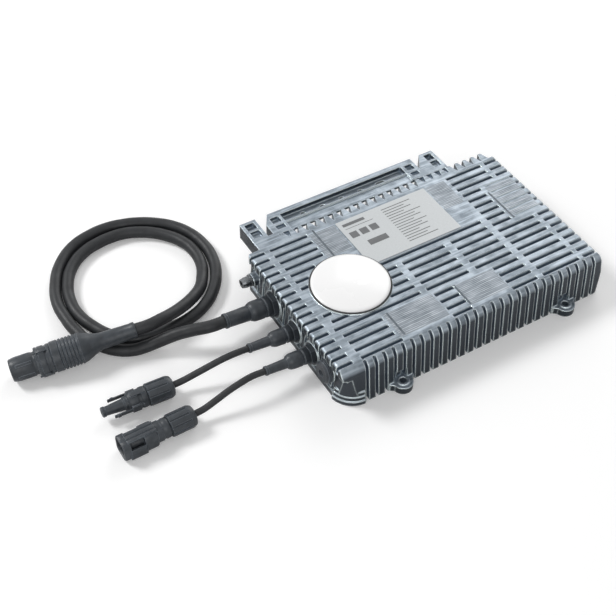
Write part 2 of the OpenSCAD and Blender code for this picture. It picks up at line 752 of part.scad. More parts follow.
dc_low = dc_nut_r;
dc_tips = [for (y = dc_y) sleeve_end(y, dc_gland_len)];
dc_turns = [3, -1];
dc_plug_at = [
    [dc_tips[0][0] - 66, dc_tips[0][1] + 5, dc_low],
    [dc_tips[1][0] - 64.5, dc_tips[1][1] - 2, dc_low]
];
dc_places = [
    [[-22, 0.8, 9.8], [-34, 1.8, 6.2], [-46, 3.2, 2.2]],
    [[-22, -0.4, 9.8], [-34, -0.8, 6], [-45, -1.4, 2]]
];
function dc_route(i) = concat([dc_tips[i], dc_tips[i] + 11 * axis_dir],
    after(dc_tips[i], dc_places[i], dc_low),
    [dc_plug_at[i] - 9 * heading(dc_turns[i], 0), dc_plug_at[i]]);

sides = 12;
function unit(v) = v / norm(v);
function run_of(p, i) = unit(p[min(i + 1, len(p) - 1)] - p[max(i - 1, 0)]);
function ring_at(p, i, r) =
    let (t = run_of(p, i), s = unit(cross([0, 0, 1], t)), u = cross(t, s))
    [for (k = [0:sides - 1]) p[i] + r * (cos(360 * k / sides) * s + sin(360 * k / sides) * u)];

module tube(p, r) {
    n = sides;
    last = len(p) - 1;
    polyhedron(
        points = [for (i = [0:last]) each ring_at(p, i, r)],
        faces = concat(
            [[for (k = [0:n - 1]) k]],
            [for (i = [0:last - 1], k = [0:n - 1])
                [i * n + k, (i + 1) * n + k, (i + 1) * n + (k + 1) % n, i * n + (k + 1) % n]],
            [[for (k = [0:n - 1]) last * n + n - 1 - k]]));
}

module ac_cable() { color("#2e2d31") tube(ac_route, ac_d / 2); }
module dc_cable(i) { color("#29282b") tube(dc_route(i), dc_d / 2); }

// Frame of a connector: Z forward from where its cable enters.
module at_plug(p, turn, dip) {
    translate(p) rotate([0, 0, -turn]) rotate([0, -90 - dip, 0]) children();
}
module at_ac_plug() { at_plug(ac_plug_at, ac_turn, ac_dip) children(); }
module at_dc_plug() { at_plug(dc_plug_at[0], dc_turns[0], 0) children(); }
module at_dc_socket() { at_plug(dc_plug_at[1], dc_turns[1], 0) children(); }

ac_tail = 50;
ac_contact_z = ac_tail + core_len;
ac_insert_z = 64;
ac_shoulder_z = 88;
ac_len = 104.2;
// Eight rings round the grip.
ring_pitch = 2.9;
grip_rings = [for (i = [0:7], z = [46 + i * ring_pitch])
    each [[ac_grip_r, z], [ac_grip_r, z + 1.9], [ac_grip_r - 0.9, z + 2.3], [ac_grip_r - 0.9, z + 2.7]]];
module ac_plug_body() {
    color("#2c2d2f") at_ac_plug() {
        rotate_extrude() polygon([
            [ac_d / 2 + cable_fit, 0], [6.4, 0], [6.4, 3], [7, 3.6], [7, 29], [ac_grip_r - 0.7, 44.6],
            each grip_rings, [11, 70], [11, ac_tail], [ac_d / 2 + cable_fit, ac_tail]
        ]);
    }
}

module ac_plug_ring() {
    color("#313335") at_ac_plug() {
        rotate_extrude() polygon([
            [8.4, 60], [11, 60], [11, 70], [12.3, 70], [12.3, 82.7], [10, 82.7], [10, ac_len - 1],
            [9.4, ac_len], [8.6, ac_len], [8.6, 91], [7.4, 91], [7.4, ac_shoulder_z], [8.4, ac_shoulder_z]
        ]);
        translate([12, -2, 72]) cube([1.6, 4, 9]);
    }
}

function contact_xy(i) = [ac_d / 4 * cos(i * 120), ac_d / 4 * sin(i * 120)];
module ac_plug_insert() {
    color("#3b3e40") at_ac_plug() difference() {
        translate([0, 0, ac_insert_z]) cylinder(h = ac_shoulder_z - ac_insert_z, r = 8.4);
        for (i = [0:2]) translate([contact_xy(i)[0], contact_xy(i)[1], ac_insert_z - 1])
            cylinder(h = 30, r = 1.25);
    }
}

module ac_plug_contacts() {
    color("#c8a85a") at_ac_plug() for (i = [0:2])
        translate([contact_xy(i)[0], contact_xy(i)[1], ac_contact_z]) cylinder(h = 38, r = 1.25);
}

module ac_cable_plug_end() {
    color("#2b2b2d") at_ac_plug() {
        cylinder(h = ac_tail, r = ac_d / 2);
        cores_of(ac_d / 2, 1.2, 3, ac_tail - eps);
    }
}

// Panel connectors. Both have the same nut over a threaded tail.
dc_tail = 16;
dc_pin_z = dc_tail + core_len;
body_start = 8;
module dc_nut() {
    difference() {
        rotate_extrude() polygon([
            [dc_d / 2 + cable_fit, 0], [6.6, 0], [8.2, 0.9], [dc_nut_r - 0.2, 3.2], [dc_nut_r, 4.2],
            [dc_nut_r, dc_nut_len - 0.6], [dc_nut_r - 0.6, dc_nut_len], [7.6, dc_nut_len],
            [7.6, body_start], [dc_d / 2 + cable_fit, body_start]
        ]);
        translate([0, 0, 5]) linear_extrude(dc_nut_len) for (i = [0:9])
            rotate(18 + i * 36) translate([dc_nut_r - 0.7, -0.8]) square([2, 1.6]);
    }
}

module dc_contact(r, tip, bore) {
    difference() {
        union() {
            translate([0, 0, dc_pin_z]) cylinder(h = 9, r = 2.2);
            translate([0, 0, dc_pin_z]) cylinder(h = tip - dc_pin_z, r = r);
        }
        if (bore > 0) translate([0, 0, tip - 14]) cylinder(h = 15, r = bore);
    }
}

module dc_tail_end() {
    cylinder(h = dc_tail, r = dc_d / 2);
    translate([0, 0, dc_tail - eps]) cylinder(h = core_len + eps, r = dc_core_r);
}

snout_len = 60;
arm_out = 9.3;
module dc_plug_body() {
    color("#242527") at_dc_plug() difference() {
        union() {
            rotate_extrude() polygon([
                [0, body_start], [7.6, body_start], [7.6, dc_nut_len], [8.6, dc_nut_len + 0.8],
                [8.6, 36], [7.4, 38.5], [6, 38.5], [6, 41], [4.7, 42], [3.7, snout_len - 3],
                [4.3, snout_len - 2.7], [4.3, snout_len - 0.5], [3.8, snout_len], [0, snout_len]
            ]);
            for (m = [0, 1]) mirror([0, m, 0]) {
                translate([-3.2, arm_out - 2.6, 30]) cube([6.4, 2.6, 7]);
                translate([-1.6, arm_out - 1.3, 36]) cube([3.2, 1.3, 16]);
                translate([-1.6, arm_out - 1, 47]) cube([3.2, 1.6, 3]);
            }
        }
        cylinder(h = dc_tail, r = dc_d / 2 + cable_fit);
        cylinder(h = snout_len + 2, r = 2.2);
    }
}

socket_len = 63;
module dc_socket_body() {
    s = dc_socket_side;
    color("#2b2d2f") at_dc_socket() difference() {
        union() {
            rotate_extrude() polygon([
                [0, body_start], [7.6, body_start], [7.6, dc_nut_len], [8.4, dc_nut_len + 0.8],
                [8.4, 38], [0, 38]
            ]);
            difference() {
                translate([0, 0, 34]) linear_extrude(socket_len - 34)
                    plan(-s / 2, s / 2, -s / 2, s / 2, [4.5, 4.5, 4.5, 4.5]);
                translate([0, 0, 42]) linear_extrude(socket_len)
                    plan(1.6 - s / 2, s / 2 - 1.6, 1.6 - s / 2, s / 2 - 1.6, [3, 3, 3, 3]);
                // two windows for the latch arms, up to the corners
                translate([-3.4, -s, 45]) cube([s / 2 + 1.8, 2 * s, 12]);
            }
            translate([0, 0, 38]) cylinder(h = 18, r = 5.2);
            translate([s / 2 - 1, -5, 34]) cube([1.9, 10, 24]);
        }
        cylinder(h = dc_tail, r = dc_d / 2 + cable_fit);
        cylinder(h = 42, r = 2.2);
        translate([0, 0, 42]) cylinder(h = 30, r = 3.8);
    }
}

module dc_plug_nut() { color("#303234") at_dc_plug() dc_nut(); }
module dc_socket_nut() { color("#303234") at_dc_socket() dc_nut(); }
module dc_plug_contact() { color("#c9cccf") at_dc_plug() dc_contact(2.1, snout_len - 1.5, 1.55); }
module dc_socket_contact() { color("#c9cccf") at_dc_socket() dc_contact(1.5, 57, 0); }
module dc_cable_plug_end() { color("#29282a") at_dc_plug() dc_tail_end(); }
module dc_cable_socket_end() { color("#29282a") at_dc_socket() dc_tail_end(); }

// Inside the housing. The board hangs from the roof on six posts.
board_x = [from_left(18), from_right(6)];
board_y = [from_front(4), from_back(7.5)];
module circuit_board() {
    color("#1f5a3a") placed() difference() {
        block([board_x[0], board_y[0], pcb_z], [board_x[1], board_y[1], board_z]);
        for (p = post_xy) translate([p[0], p[1], 0]) cylinder(h = 20, r = board_screw_r + play);
    }
}

module board_screws() {
    color("#c9ccce") placed() for (p = post_xy) translate([p[0], p[1], 0]) difference() {
        union() {
            translate([0, 0, pcb_z - 2]) cylinder(h = 2, r = 2.5);
            translate([0, 0, pcb_z - 1]) cylinder(h = pcb_t + 9, r = board_screw_r);
        }
        translate([0, 0, pcb_z - 3]) cylinder(h = 2, r = 1.1, $fn = 6);
    }
}

head_room = 2.9;
transformer_xy = [[from_left(76), from_front(42)], [from_left(130), from_front(42)]];
core_w = 36;
core_d = 28;
core_h = roof_z - head_room - board_z;
plate_h = 4;
post_core_r = 6;
module transformer_cores() {
    color("#3a3a3c") placed() for (p = transformer_xy) translate([p[0], p[1], board_z]) {
        for (z = [0, core_h - plate_h])
            translate([-core_w / 2, -core_d / 2, z]) cube([core_w, core_d, plate_h]);
        for (x = [-core_w / 2, core_w / 2 - 4])
            translate([x, -core_d / 2, 0]) cube([4, core_d, core_h]);
        cylinder(h = core_h, r = post_core_r);
    }
}

module transformer_windings() {
    color("#c98a3c") placed() for (p = transformer_xy)
        translate([p[0], p[1], board_z + plate_h]) ring(13.2, post_core_r, core_h - 2 * plate_h);
}

capacitor_x = [for (i = [0:3]) from_left(52) + i * 19];
capacitor_r = 8;
capacitor_h = roof_z - head_room - 1 - board_z;
module input_capacitors() {
    color("#3a4d6b") placed() for (x = capacitor_x) translate([x, from_front(86), board_z]) {
        cylinder(h = 1.5, r = capacitor_r - 0.4);
        cylinder(h = capacitor_h, r = capacitor_r);
    }
}

module film_capacitor() {
    color("#d9c48a") placed()
        block([from_right(48), from_back(35.5), board_z],
              [from_right(18), from_back(22.5), roof_z - head_room - 2]);
}

choke_xy = [from_right(48), from_front(64)];
module choke_core() {
    color("#56635a") placed() translate([choke_xy[0], choke_xy[1], board_z + 2]) ring(12, 7, 9);
}

module choke_winding() {
    color("#c98a3c") placed() translate([choke_xy[0], choke_xy[1], board_z])
        rotate(20) rotate_extrude(angle = 320) difference() {
            translate([5, 0]) square([9, 13]);
            translate([7, 2]) square([5, 9]);
        }
}

module output_relay() {
    color("#e8e8e4") placed()
        block([from_right(92), from_back(53.5), board_z], [from_right(64), from_back(40.5), board_z + 16]);
}

module power_transistors() {
    color("#1b1b1d") placed() for (x = transistor_x) {
        block([x - transistor_w / 2, land_y + pad_t, transistor_z],
              [x + transistor_w / 2, land_y + pad_t + transistor_d, transistor_z + transistor_h]);
        for (dx = [-5, 0, 5])
            block([x + dx - 0.5, land_y + pad_t + 1.8, board_z],
                  [x + dx + 0.5, land_y + pad_t + 2.8, transistor_z + 1]);
    }
}

module clamp_holes(r) {
    for (x = clamp_screw_x)
        translate([x, land_y + 20, clamp_screw_z]) rotate([90, 0, 0]) cylinder(h = 22, r = r);
}

module thermal_pad() {
    color("#b9a9b8") placed() difference() {
        block([land_x[0] + 1, land_y, transistor_z],
              [land_x[1] - 1, land_y + pad_t, transistor_z + transistor_h]);
        clamp_holes(1.7);
    }
}

clamp_y = land_y + pad_t + transistor_d;
module transistor_clamp() {
    color("#b7bbbe") placed() difference() {
        block([land_x[0] + 2, clamp_y, clamp_screw_z - 4],
              [land_x[1] - 2, clamp_y + clamp_t, clamp_screw_z + 4]);
        clamp_holes(1.6);
    }
}

module clamp_screws() {
    color("#c9ccce") placed() for (x = clamp_screw_x)
        translate([x, clamp_y + clamp_t, clamp_screw_z]) rotate([90, 0, 0]) difference() {
            union() {
                translate([0, 0, -2.4]) cylinder(h = 2.4, r = 2.7);
                translate([0, 0, -1]) cylinder(h = clamp_y + clamp_t - land_y + 6, r = 1.5);
            }
            translate([0, 0, -3]) cylinder(h = 2, r = 1.25, $fn = 6);
        }
}

terminal_x = [from_left(12), from_left(30)];
// The face of a terminal block stands square to the cores that end on it.
module terminal_block(y0, y1, holes) {
    difference() {
        block([terminal_x[0], y0, board_z], [terminal_x[1], y1, board_z + 15]);
        in_gland(0) translate([-40, -100, -tail_len - core_len]) cube([80, 200, 60]);
        block([cav_x0 - 2, y0 - 1, 0], [board_x[0] - 1, y1 + 1, body_h]);
        for (y = holes) translate([terminal_x[1] - 6, y, board_z + 11]) cylinder(h = 6, r = 1.8);
    }
}

module ac_terminals() {
    color("#3d7a4c") placed() terminal_block(ac_y - 9, ac_y + 9, [ac_y - 5.5, ac_y, ac_y + 5.5]);
}

module dc_terminals() {
    color("#3d7a4c") placed() terminal_block(dc_y[1] - 7, dc_y[0] + 7, dc_y);
}

module controller_chip() {
    color("#17181a") placed()
        block([from_right(40), from_front(30), board_z], [from_right(26), from_front(44), board_z + 1.4]);
}

module fuse() {
    color("#d8d2c4") placed() translate([from_right(74), from_back(23.5), board_z + 3]) rotate([0, 90, 0]) {
        cylinder(h = 20, r = 2.6);
        for (z = [0, 14.5]) translate([0, 0, z]) cylinder(h = 5.5, r = 3);
    }
}

housing();
bottom_cover();
cover_gasket();
cover_screws();
rating_plate();
badge();
earth_screw();
earth_washer();
vent_plug();
ac_gland_body();
ac_gland_cap();
ac_gland_seal();
ac_gland_locknut();
ac_cable_gland_end();
dc_gland_body(0);  // dc_gland_body_rear
dc_gland_cap(0);  // dc_gland_cap_rear
dc_gland_seal(0);  // dc_gland_seal_rear
dc_gland_locknut(0);  // dc_gland_locknut_rear
dc_cable_gland_end(0);  // dc_cable_gland_end_rear
dc_gland_body(1);  // dc_gland_body_front
dc_gland_cap(1);  // dc_gland_cap_front
dc_gland_seal(1);  // dc_gland_seal_front
dc_gland_locknut(1);  // dc_gland_locknut_front
dc_cable_gland_end(1);  // dc_cable_gland_end_front
ac_cable();
dc_cable(0);  // dc_cable_rear
dc_cable(1);  // dc_cable_front
ac_plug_body();
ac_plug_ring();
ac_plug_insert();
ac_plug_contacts();
ac_cable_plug_end();
dc_plug_body();
dc_plug_nut();
dc_plug_contact();
dc_cable_plug_end();
dc_socket_body();
dc_socket_nut();
dc_socket_contact();
dc_cable_socket_end();
circuit_board();
board_screws();
transformer_cores();
transformer_windings();
input_capacitors();
film_capacitor();
choke_core();
choke_winding();
output_relay();
power_transistors();
transistor_clamp();
clamp_screws();
thermal_pad();
ac_terminals();
dc_terminals();
controller_chip();
fuse();
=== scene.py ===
"""Looks of a solar microinverter: finishes, cables, glands, connectors, badge, plate and stage.

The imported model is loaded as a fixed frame, in metres, and everything here is built round it.
"""

import json
import math

import bmesh
import bpy
from bpy.props import FloatProperty, FloatVectorProperty, IntProperty, PointerProperty
from mathutils import Matrix, Vector


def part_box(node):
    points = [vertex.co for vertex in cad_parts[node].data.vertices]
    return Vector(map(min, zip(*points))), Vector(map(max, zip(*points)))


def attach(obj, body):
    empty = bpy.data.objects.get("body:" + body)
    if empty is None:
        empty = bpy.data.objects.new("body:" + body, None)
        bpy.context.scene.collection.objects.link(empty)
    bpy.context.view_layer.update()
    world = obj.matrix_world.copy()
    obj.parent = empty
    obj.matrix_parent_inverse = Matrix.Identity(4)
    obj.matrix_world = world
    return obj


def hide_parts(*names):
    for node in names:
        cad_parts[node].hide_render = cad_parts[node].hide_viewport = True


bl_info = {
    "name": "Solar microinverter looks",
    "version": (1, 0, 0),
    "blender": (4, 5, 0),
    "location": "3D View > Sidebar > Microinverter",
    "description": "Dresses the packed microinverter with finishes, cables and fine pieces",
    "category": "Object",
}

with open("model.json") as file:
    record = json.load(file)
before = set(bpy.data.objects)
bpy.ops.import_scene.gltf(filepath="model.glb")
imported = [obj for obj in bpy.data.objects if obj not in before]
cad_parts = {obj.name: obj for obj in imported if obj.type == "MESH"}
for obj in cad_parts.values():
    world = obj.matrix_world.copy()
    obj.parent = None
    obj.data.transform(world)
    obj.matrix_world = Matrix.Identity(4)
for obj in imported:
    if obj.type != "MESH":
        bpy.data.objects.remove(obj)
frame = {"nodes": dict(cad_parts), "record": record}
CAD = frame["nodes"]
SLOT_OF = {part["node"]: part["material_slot"] for part in frame["record"]["subparts"]}
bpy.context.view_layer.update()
MM = 0.001

# Glands: a gland's own Z runs out of the left wall from the face of its boss.
GLAND_AXIS = Vector((-0.9961947, 0.0, 0.0871557))
WALL_X, GLAND_Z = -0.123, 0.0165
BOSS_DEPTH = 0.0015
GLAND_FOOT = {
    key: Vector((WALL_X, y, GLAND_Z)) + GLAND_AXIS * BOSS_DEPTH
    for key, y in (("output", 0.025), ("rear", -0.0105), ("front", -0.038))
}

# Connectors: where the cable enters each one, and the way that it points.
ROUND_PLUG = ((-0.23681925, 0.0535, 0.02069439), (-0.97853628, 0.17959502, -0.1010563))
SNOUT_PLUG = ((-0.23333066, -0.0055, 0.0094), (-0.99862953, 0.05233596, 0.0))
SOCKET_PLUG = ((-0.23183066, -0.04, 0.0094), (-0.9998477, -0.01745241, 0.0))

# Routes of the cables, from the tip of the gland's sleeve to the connector.
OUTPUT_ROUTE = [
    (-0.17032, 0.02500, 0.02064), (-0.18327, 0.02500, 0.02177), (-0.19632, 0.03000, 0.02005),
    (-0.20832, 0.03550, 0.01645), (-0.22032, 0.04000, 0.01165), (-0.23232, 0.04350, 0.00775),
    (-0.24332, 0.04700, 0.00565), (-0.25482, 0.05400, 0.00525), (-0.26432, 0.06450, 0.00525),
    (-0.27232, 0.07700, 0.00525), (-0.27632, 0.09200, 0.00525), (-0.27782, 0.10900, 0.00525),
    (-0.27732, 0.12700, 0.00525), (-0.27032, 0.14900, 0.00525), (-0.25632, 0.17100, 0.00525),
    (-0.23832, 0.18550, 0.00525), (-0.21932, 0.19150, 0.00525), (-0.20332, 0.19250, 0.00525),
    (-0.18832, 0.18950, 0.00525), (-0.17432, 0.18400, 0.00525), (-0.16132, 0.17550, 0.00525),
    (-0.14932, 0.16350, 0.00525), (-0.14082, 0.14800, 0.00525), (-0.13682, 0.13000, 0.00525),
    (-0.13782, 0.11000, 0.00525), (-0.14432, 0.09100, 0.00525), (-0.15532, 0.07500, 0.00525),
    (-0.17032, 0.06250, 0.00525), (-0.18632, 0.05600, 0.00525), (-0.20632, 0.05350, 0.00525),
    (-0.22532, 0.05450, 0.00525), (-0.24132, 0.06050, 0.00525), (-0.25332, 0.07200, 0.00525),
    (-0.26132, 0.08700, 0.00525), (-0.26682, 0.10500, 0.00525), (-0.26682, 0.12400, 0.00525),
    (-0.26082, 0.14450, 0.00525), (-0.24882, 0.16250, 0.00525), (-0.23282, 0.17400, 0.00525),
    (-0.21732, 0.17850, 0.00525), (-0.20432, 0.17950, 0.00525), (-0.19182, 0.17800, 0.00525),
    (-0.18082, 0.17350, 0.00525), (-0.17082, 0.16700, 0.00525), (-0.16132, 0.15750, 0.00525),
    (-0.15282, 0.14450, 0.00525), (-0.14832, 0.12850, 0.00525), (-0.14982, 0.10850, 0.00525),
    (-0.15732, 0.09200, 0.00605), (-0.16532, 0.08050, 0.00805), (-0.17732, 0.07050, 0.01105),
    (-0.19132, 0.06200, 0.01505), (-0.20332, 0.05650, 0.01845), (-0.21532, 0.05300, 0.02105),
    (-0.22557, 0.05143, 0.02186), (-0.23682, 0.05350, 0.02069),
]
REAR_ROUTE = [
    (-0.16733, -0.01050, 0.02038), (-0.17829, -0.01050, 0.02134), (-0.18933, -0.00970, 0.02010),
    (-0.20133, -0.00870, 0.01730), (-0.21333, -0.00730, 0.01360), (-0.22434, -0.00597, 0.01030),
    (-0.23333, -0.00550, 0.00940),
]
FRONT_ROUTE = [
    (-0.16733, -0.03800, 0.02038), (-0.17829, -0.03800, 0.02134), (-0.18933, -0.03840, 0.02010),
    (-0.20133, -0.03880, 0.01710), (-0.21233, -0.03940, 0.01350), (-0.22283, -0.03984, 0.01030),
    (-0.23183, -0.04000, 0.00940),
]
OUTPUT_LENGTH, REAR_LENGTH, FRONT_LENGTH = 0.911, 0.068, 0.066

# Flat fields lie a hair above what carries them, so that no two faces share a plane.
PAD_LIFT = 0.00002
FIELD_LIFT = 0.00003
GROOVE_SHADE_LIFT = 0.00004


class MicroinverterCasting(bpy.types.PropertyGroup):
    colour: FloatVectorProperty(
        name="Casting colour", description="Colour of the blasted aluminium",
        subtype="COLOR", size=3, min=0, max=1, default=(0.272, 0.312, 0.352))
    shade: FloatVectorProperty(
        name="Casting shade", description="Colour of the darker flow marks",
        subtype="COLOR", size=3, min=0, max=1, default=(0.135, 0.163, 0.19))
    edge: FloatProperty(
        name="Edge radius", description="Rounding of the casting's edges", unit="LENGTH",
        min=0.0001, max=0.002, default=0.0016)
    # Painted shade: the upright walls take this dark colour, much darker than the tops, in place of the shade
    # that falls on them.
    wall: FloatVectorProperty(
        name="Wall shade", description="Colour of the walls, which are left as cast",
        subtype="COLOR", size=3, min=0, max=1, default=(0.034, 0.042, 0.053))
    # Painted light: the grooves' floors take this colour, lighter than the casting, in place of the shade in
    # them.
    groove: FloatVectorProperty(
        name="Groove shade", description="Colour of the floors of the grooves",
        subtype="COLOR", size=3, min=0, max=1, default=(0.42, 0.50, 0.57))
    # Reach of the occlusion mask within which grooves and inner corners take their painted light.
    recess: FloatProperty(
        name="Recess reach", description="How far from a wall a groove or corner takes its own colour",
        unit="LENGTH", min=0.001, max=0.02, default=0.006)
    grain: FloatProperty(
        name="Grain depth", description="Depth of the blasted grain", unit="LENGTH",
        min=0.0, max=0.0005, default=0.00009)


class MicroinverterPlastics(bpy.types.PropertyGroup):
    colour: FloatVectorProperty(
        name="Plastic colour", description="Colour of the glands and connectors",
        subtype="COLOR", size=3, min=0, max=1, default=(0.033, 0.038, 0.044))
    jacket: FloatVectorProperty(
        name="Jacket colour", description="Colour of the cables' jacket",
        subtype="COLOR", size=3, min=0, max=1, default=(0.016, 0.0172, 0.019))
    output_diameter: FloatProperty(
        name="Output cable", description="Diameter of the output cable", unit="LENGTH",
        min=0.009, max=0.011, default=0.0105)
    lead_diameter: FloatProperty(
        name="Panel lead", description="Diameter of a panel lead", unit="LENGTH",
        min=0.0048, max=0.006, default=0.0055)
    grip_rings: IntProperty(
        name="Grip rings", description="Rings round the output connector's grip",
        min=4, max=10, default=6)


class MicroinverterLabels(bpy.types.PropertyGroup):
    badge: FloatVectorProperty(
        name="Badge colour", description="Colour of the round badge",
        subtype="COLOR", size=3, min=0, max=1, default=(0.92, 0.92, 0.92))
    plate: FloatVectorProperty(
        name="Plate colour", description="Colour of the rating plate",
        subtype="COLOR", size=3, min=0, max=1, default=(0.47, 0.49, 0.50))
    ink: FloatVectorProperty(
        name="Field colour", description="Colour of the plate's plain fields",
        subtype="COLOR", size=3, min=0, max=1, default=(0.12, 0.125, 0.13))


class MicroinverterStage(bpy.types.PropertyGroup):
    lens: FloatProperty(
        name="Lens", description="Focal length of the camera in mm", min=30, max=200, default=66.2)
    key_power: FloatProperty(
        name="Key lamp", description="Power of the small, hard lamp at the back left", unit="POWER",
        min=0, max=200, default=33)
    fill_power: FloatProperty(
        name="Fill lamp", description="Power of the soft lamp at the front", unit="POWER",
        min=0, max=200, default=12)
    back_power: FloatProperty(
        name="Back lamp", description="Power of the broad lamp at the back right", unit="POWER",
        min=0, max=200, default=22)
    room_light: FloatProperty(
        name="Room light", description="Strength of the even light from all round",
        min=0, max=2, default=0.33)


def sizes(group):
    """The scene's values for one group of sizes and colours."""
    return getattr(bpy.context.scene, "microinverter_" + group)


def node(tree, kind, values=None, **settings):
    """Adds a shader node, sets its attributes, and fills its inputs from values or links them."""
    made = tree.nodes.new(kind)
    for key, value in settings.items():
        setattr(made, key, value)
    for key, value in (values or {}).items():
        socket = made.inputs[key]
        if isinstance(value, bpy.types.NodeSocket):
            tree.links.new(value, socket)
        else:
            socket.default_value = value
    return made


def figured(tree, operation, one, other, **settings):
    """The result of a math node on two numbers or sockets."""
    return node(tree, "ShaderNodeMath", {0: one, 1: other}, operation=operation, **settings).outputs[0]


def shared_group(name, inputs, outputs):
    """Starts a node group with float inputs and the named outputs."""
    tree = bpy.data.node_groups.new(name, "ShaderNodeTree")
    for key, value in inputs.items():
        socket = tree.interface.new_socket(name=key, in_out="INPUT", socket_type="NodeSocketFloat")
        socket.default_value = value
    for key, kind in outputs.items():
        tree.interface.new_socket(name=key, in_out="OUTPUT", socket_type=kind)
    return tree, tree.nodes.new("NodeGroupInput").outputs, tree.nodes.new("NodeGroupOutput").inputs


def edge_rounding_group():
    """Rounds the edges in the shading, and gives a mask of where they are."""
    tree, given, out = shared_group(
        "Edge rounding", {"Radius": 0.0005}, {"Normal": "NodeSocketVector", "Edge": "NodeSocketFloat"})
    rounded = node(tree, "ShaderNodeBevel", {"Radius": given["Radius"]}, samples=6)
    flat = node(tree, "ShaderNodeNewGeometry")
    same = node(tree, "ShaderNodeVectorMath", {0: rounded.outputs[0], 1: flat.outputs["Normal"]},
                operation="DOT_PRODUCT")
    bend = figured(tree, "SUBTRACT", 1.0, same.outputs["Value"])
    tree.links.new(rounded.outputs[0], out["Normal"])
    tree.links.new(figured(tree, "MULTIPLY", bend, 9.0, use_clamp=True), out["Edge"])
    return tree


def recess_group():
    """A mask that is 1 in the open and falls to 0 in grooves and inner corners."""
    tree, given, out = shared_group("Recess", {"Reach": 0.006}, {"Open": "NodeSocketFloat"})
    hollow = node(tree, "ShaderNodeAmbientOcclusion", {"Distance": given["Reach"]},
                  samples=8, only_local=True)
    tree.links.new(spread(tree, hollow.outputs["AO"], 0.2, 0.8, 0.0, 1.0), out["Open"])
    return tree


def grain_group():
    """A fine grain for bump, a mottle for colour, and streaks drawn out along X."""
    tree, given, out = shared_group(
        "Surface grain", {"Fine": 1400.0, "Broad": 60.0, "Streak": 40.0},
        {"Height": "NodeSocketFloat", "Mottle": "NodeSocketFloat", "Streaks": "NodeSocketFloat"})
    at = node(tree, "ShaderNodeTexCoord").outputs["Object"]
    fine = node(tree, "ShaderNodeTexNoise", {"Vector": at, "Scale": given["Fine"], "Detail": 3.0})
    cells = node(tree, "ShaderNodeTexVoronoi", {"Vector": at, "Scale": given["Fine"]})
    height = figured(tree, "ADD", fine.outputs["Fac"], cells.outputs["Distance"])
    broad = node(tree, "ShaderNodeTexNoise", {"Vector": at, "Scale": given["Broad"], "Detail": 5.0})
    long = node(tree, "ShaderNodeMapping", {"Vector": at, "Scale": (1.0, 14.0, 14.0)})
    streak = node(tree, "ShaderNodeTexNoise", {
        "Vector": long.outputs[0], "Scale": given["Streak"], "Detail": 4.0})
    tree.links.new(height, out["Height"])
    tree.links.new(broad.outputs["Fac"], out["Mottle"])
    tree.links.new(streak.outputs["Fac"], out["Streaks"])
    return tree


def new_material(name):
    """A material with one Principled shader: itself, its tree and the shader's inputs."""
    made = bpy.data.materials.new(name)
    made.use_nodes = True
    tree = made.node_tree
    tree.nodes.clear()
    shader = tree.nodes.new("ShaderNodeBsdfPrincipled")
    tree.links.new(shader.outputs[0], tree.nodes.new("ShaderNodeOutputMaterial").inputs[0])
    return made, tree, shader.inputs


def blend(tree, mask, low, high):
    """Colour that goes from low to high with a mask."""
    mix = node(tree, "ShaderNodeMix", {0: mask}, data_type="RGBA")
    for socket, value in ((mix.inputs[6], low), (mix.inputs[7], high)):
        if isinstance(value, bpy.types.NodeSocket):
            tree.links.new(value, socket)
        else:
            socket.default_value = (*value, 1.0)
    return mix.outputs[2]


def spread(tree, value, from_low, from_high, to_low, to_high):
    """Maps a mask's range to another one."""
    return node(tree, "ShaderNodeMapRange", {
        "Value": value, "From Min": from_low, "From Max": from_high,
        "To Min": to_low, "To Max": to_high}).outputs[0]


def use_group(tree, name, **values):
    """Places a shared node group with its own values, and gives its outputs."""
    made = tree.nodes.new("ShaderNodeGroup")
    made.node_tree = bpy.data.node_groups[name]
    for key, value in values.items():
        made.inputs[key].default_value = value
    return made.outputs


def tinted(colour, factor):
    """A colour made lighter or darker by a factor."""
    return tuple(min(1.0, c * factor) for c in colour)


def bumped(tree, shader, height, depth, strength=1.0, normal=None):
    """Raises the surface by a height mask, to a depth in metres."""
    values = {"Strength": strength, "Distance": depth, "Height": height}
    if normal is not None:
        values["Normal"] = normal
    tree.links.new(node(tree, "ShaderNodeBump", values).outputs[0], shader["Normal"])


def grained(name, light, dark, metallic, roughness, fine=1400.0, broad=60.0, bump=0.00004,
            edge=0.0003, edge_light=1.5, streaks=0.0, shine=0.5):
    """A material with mottled colour, uneven gloss, a fine grain and rounded, lighter edges."""
    made, tree, shader = new_material(name)
    grain = use_group(tree, "Surface grain", Fine=fine, Broad=broad)
    rim = use_group(tree, "Edge rounding", Radius=edge)
    tone = spread(tree, grain["Mottle"], 0.35, 0.65, 0.0, 1.0)
    colour = blend(tree, tone, dark, light)
    if streaks:
        line = spread(tree, grain["Streaks"], 0.42, 0.62, 0.0, streaks)
        colour = blend(tree, line, colour, tinted(light, 1.3))
    tree.links.new(blend(tree, rim["Edge"], colour, tinted(light, edge_light)), shader["Base Color"])
    tree.links.new(spread(tree, grain["Mottle"], 0.3, 0.7, roughness + 0.06, roughness - 0.06),
                   shader["Roughness"])
    shader["Metallic"].default_value = metallic
    shader["Specular IOR Level"].default_value = shine
    bumped(tree, shader, grain["Height"], bump, normal=rim["Normal"])
    return made


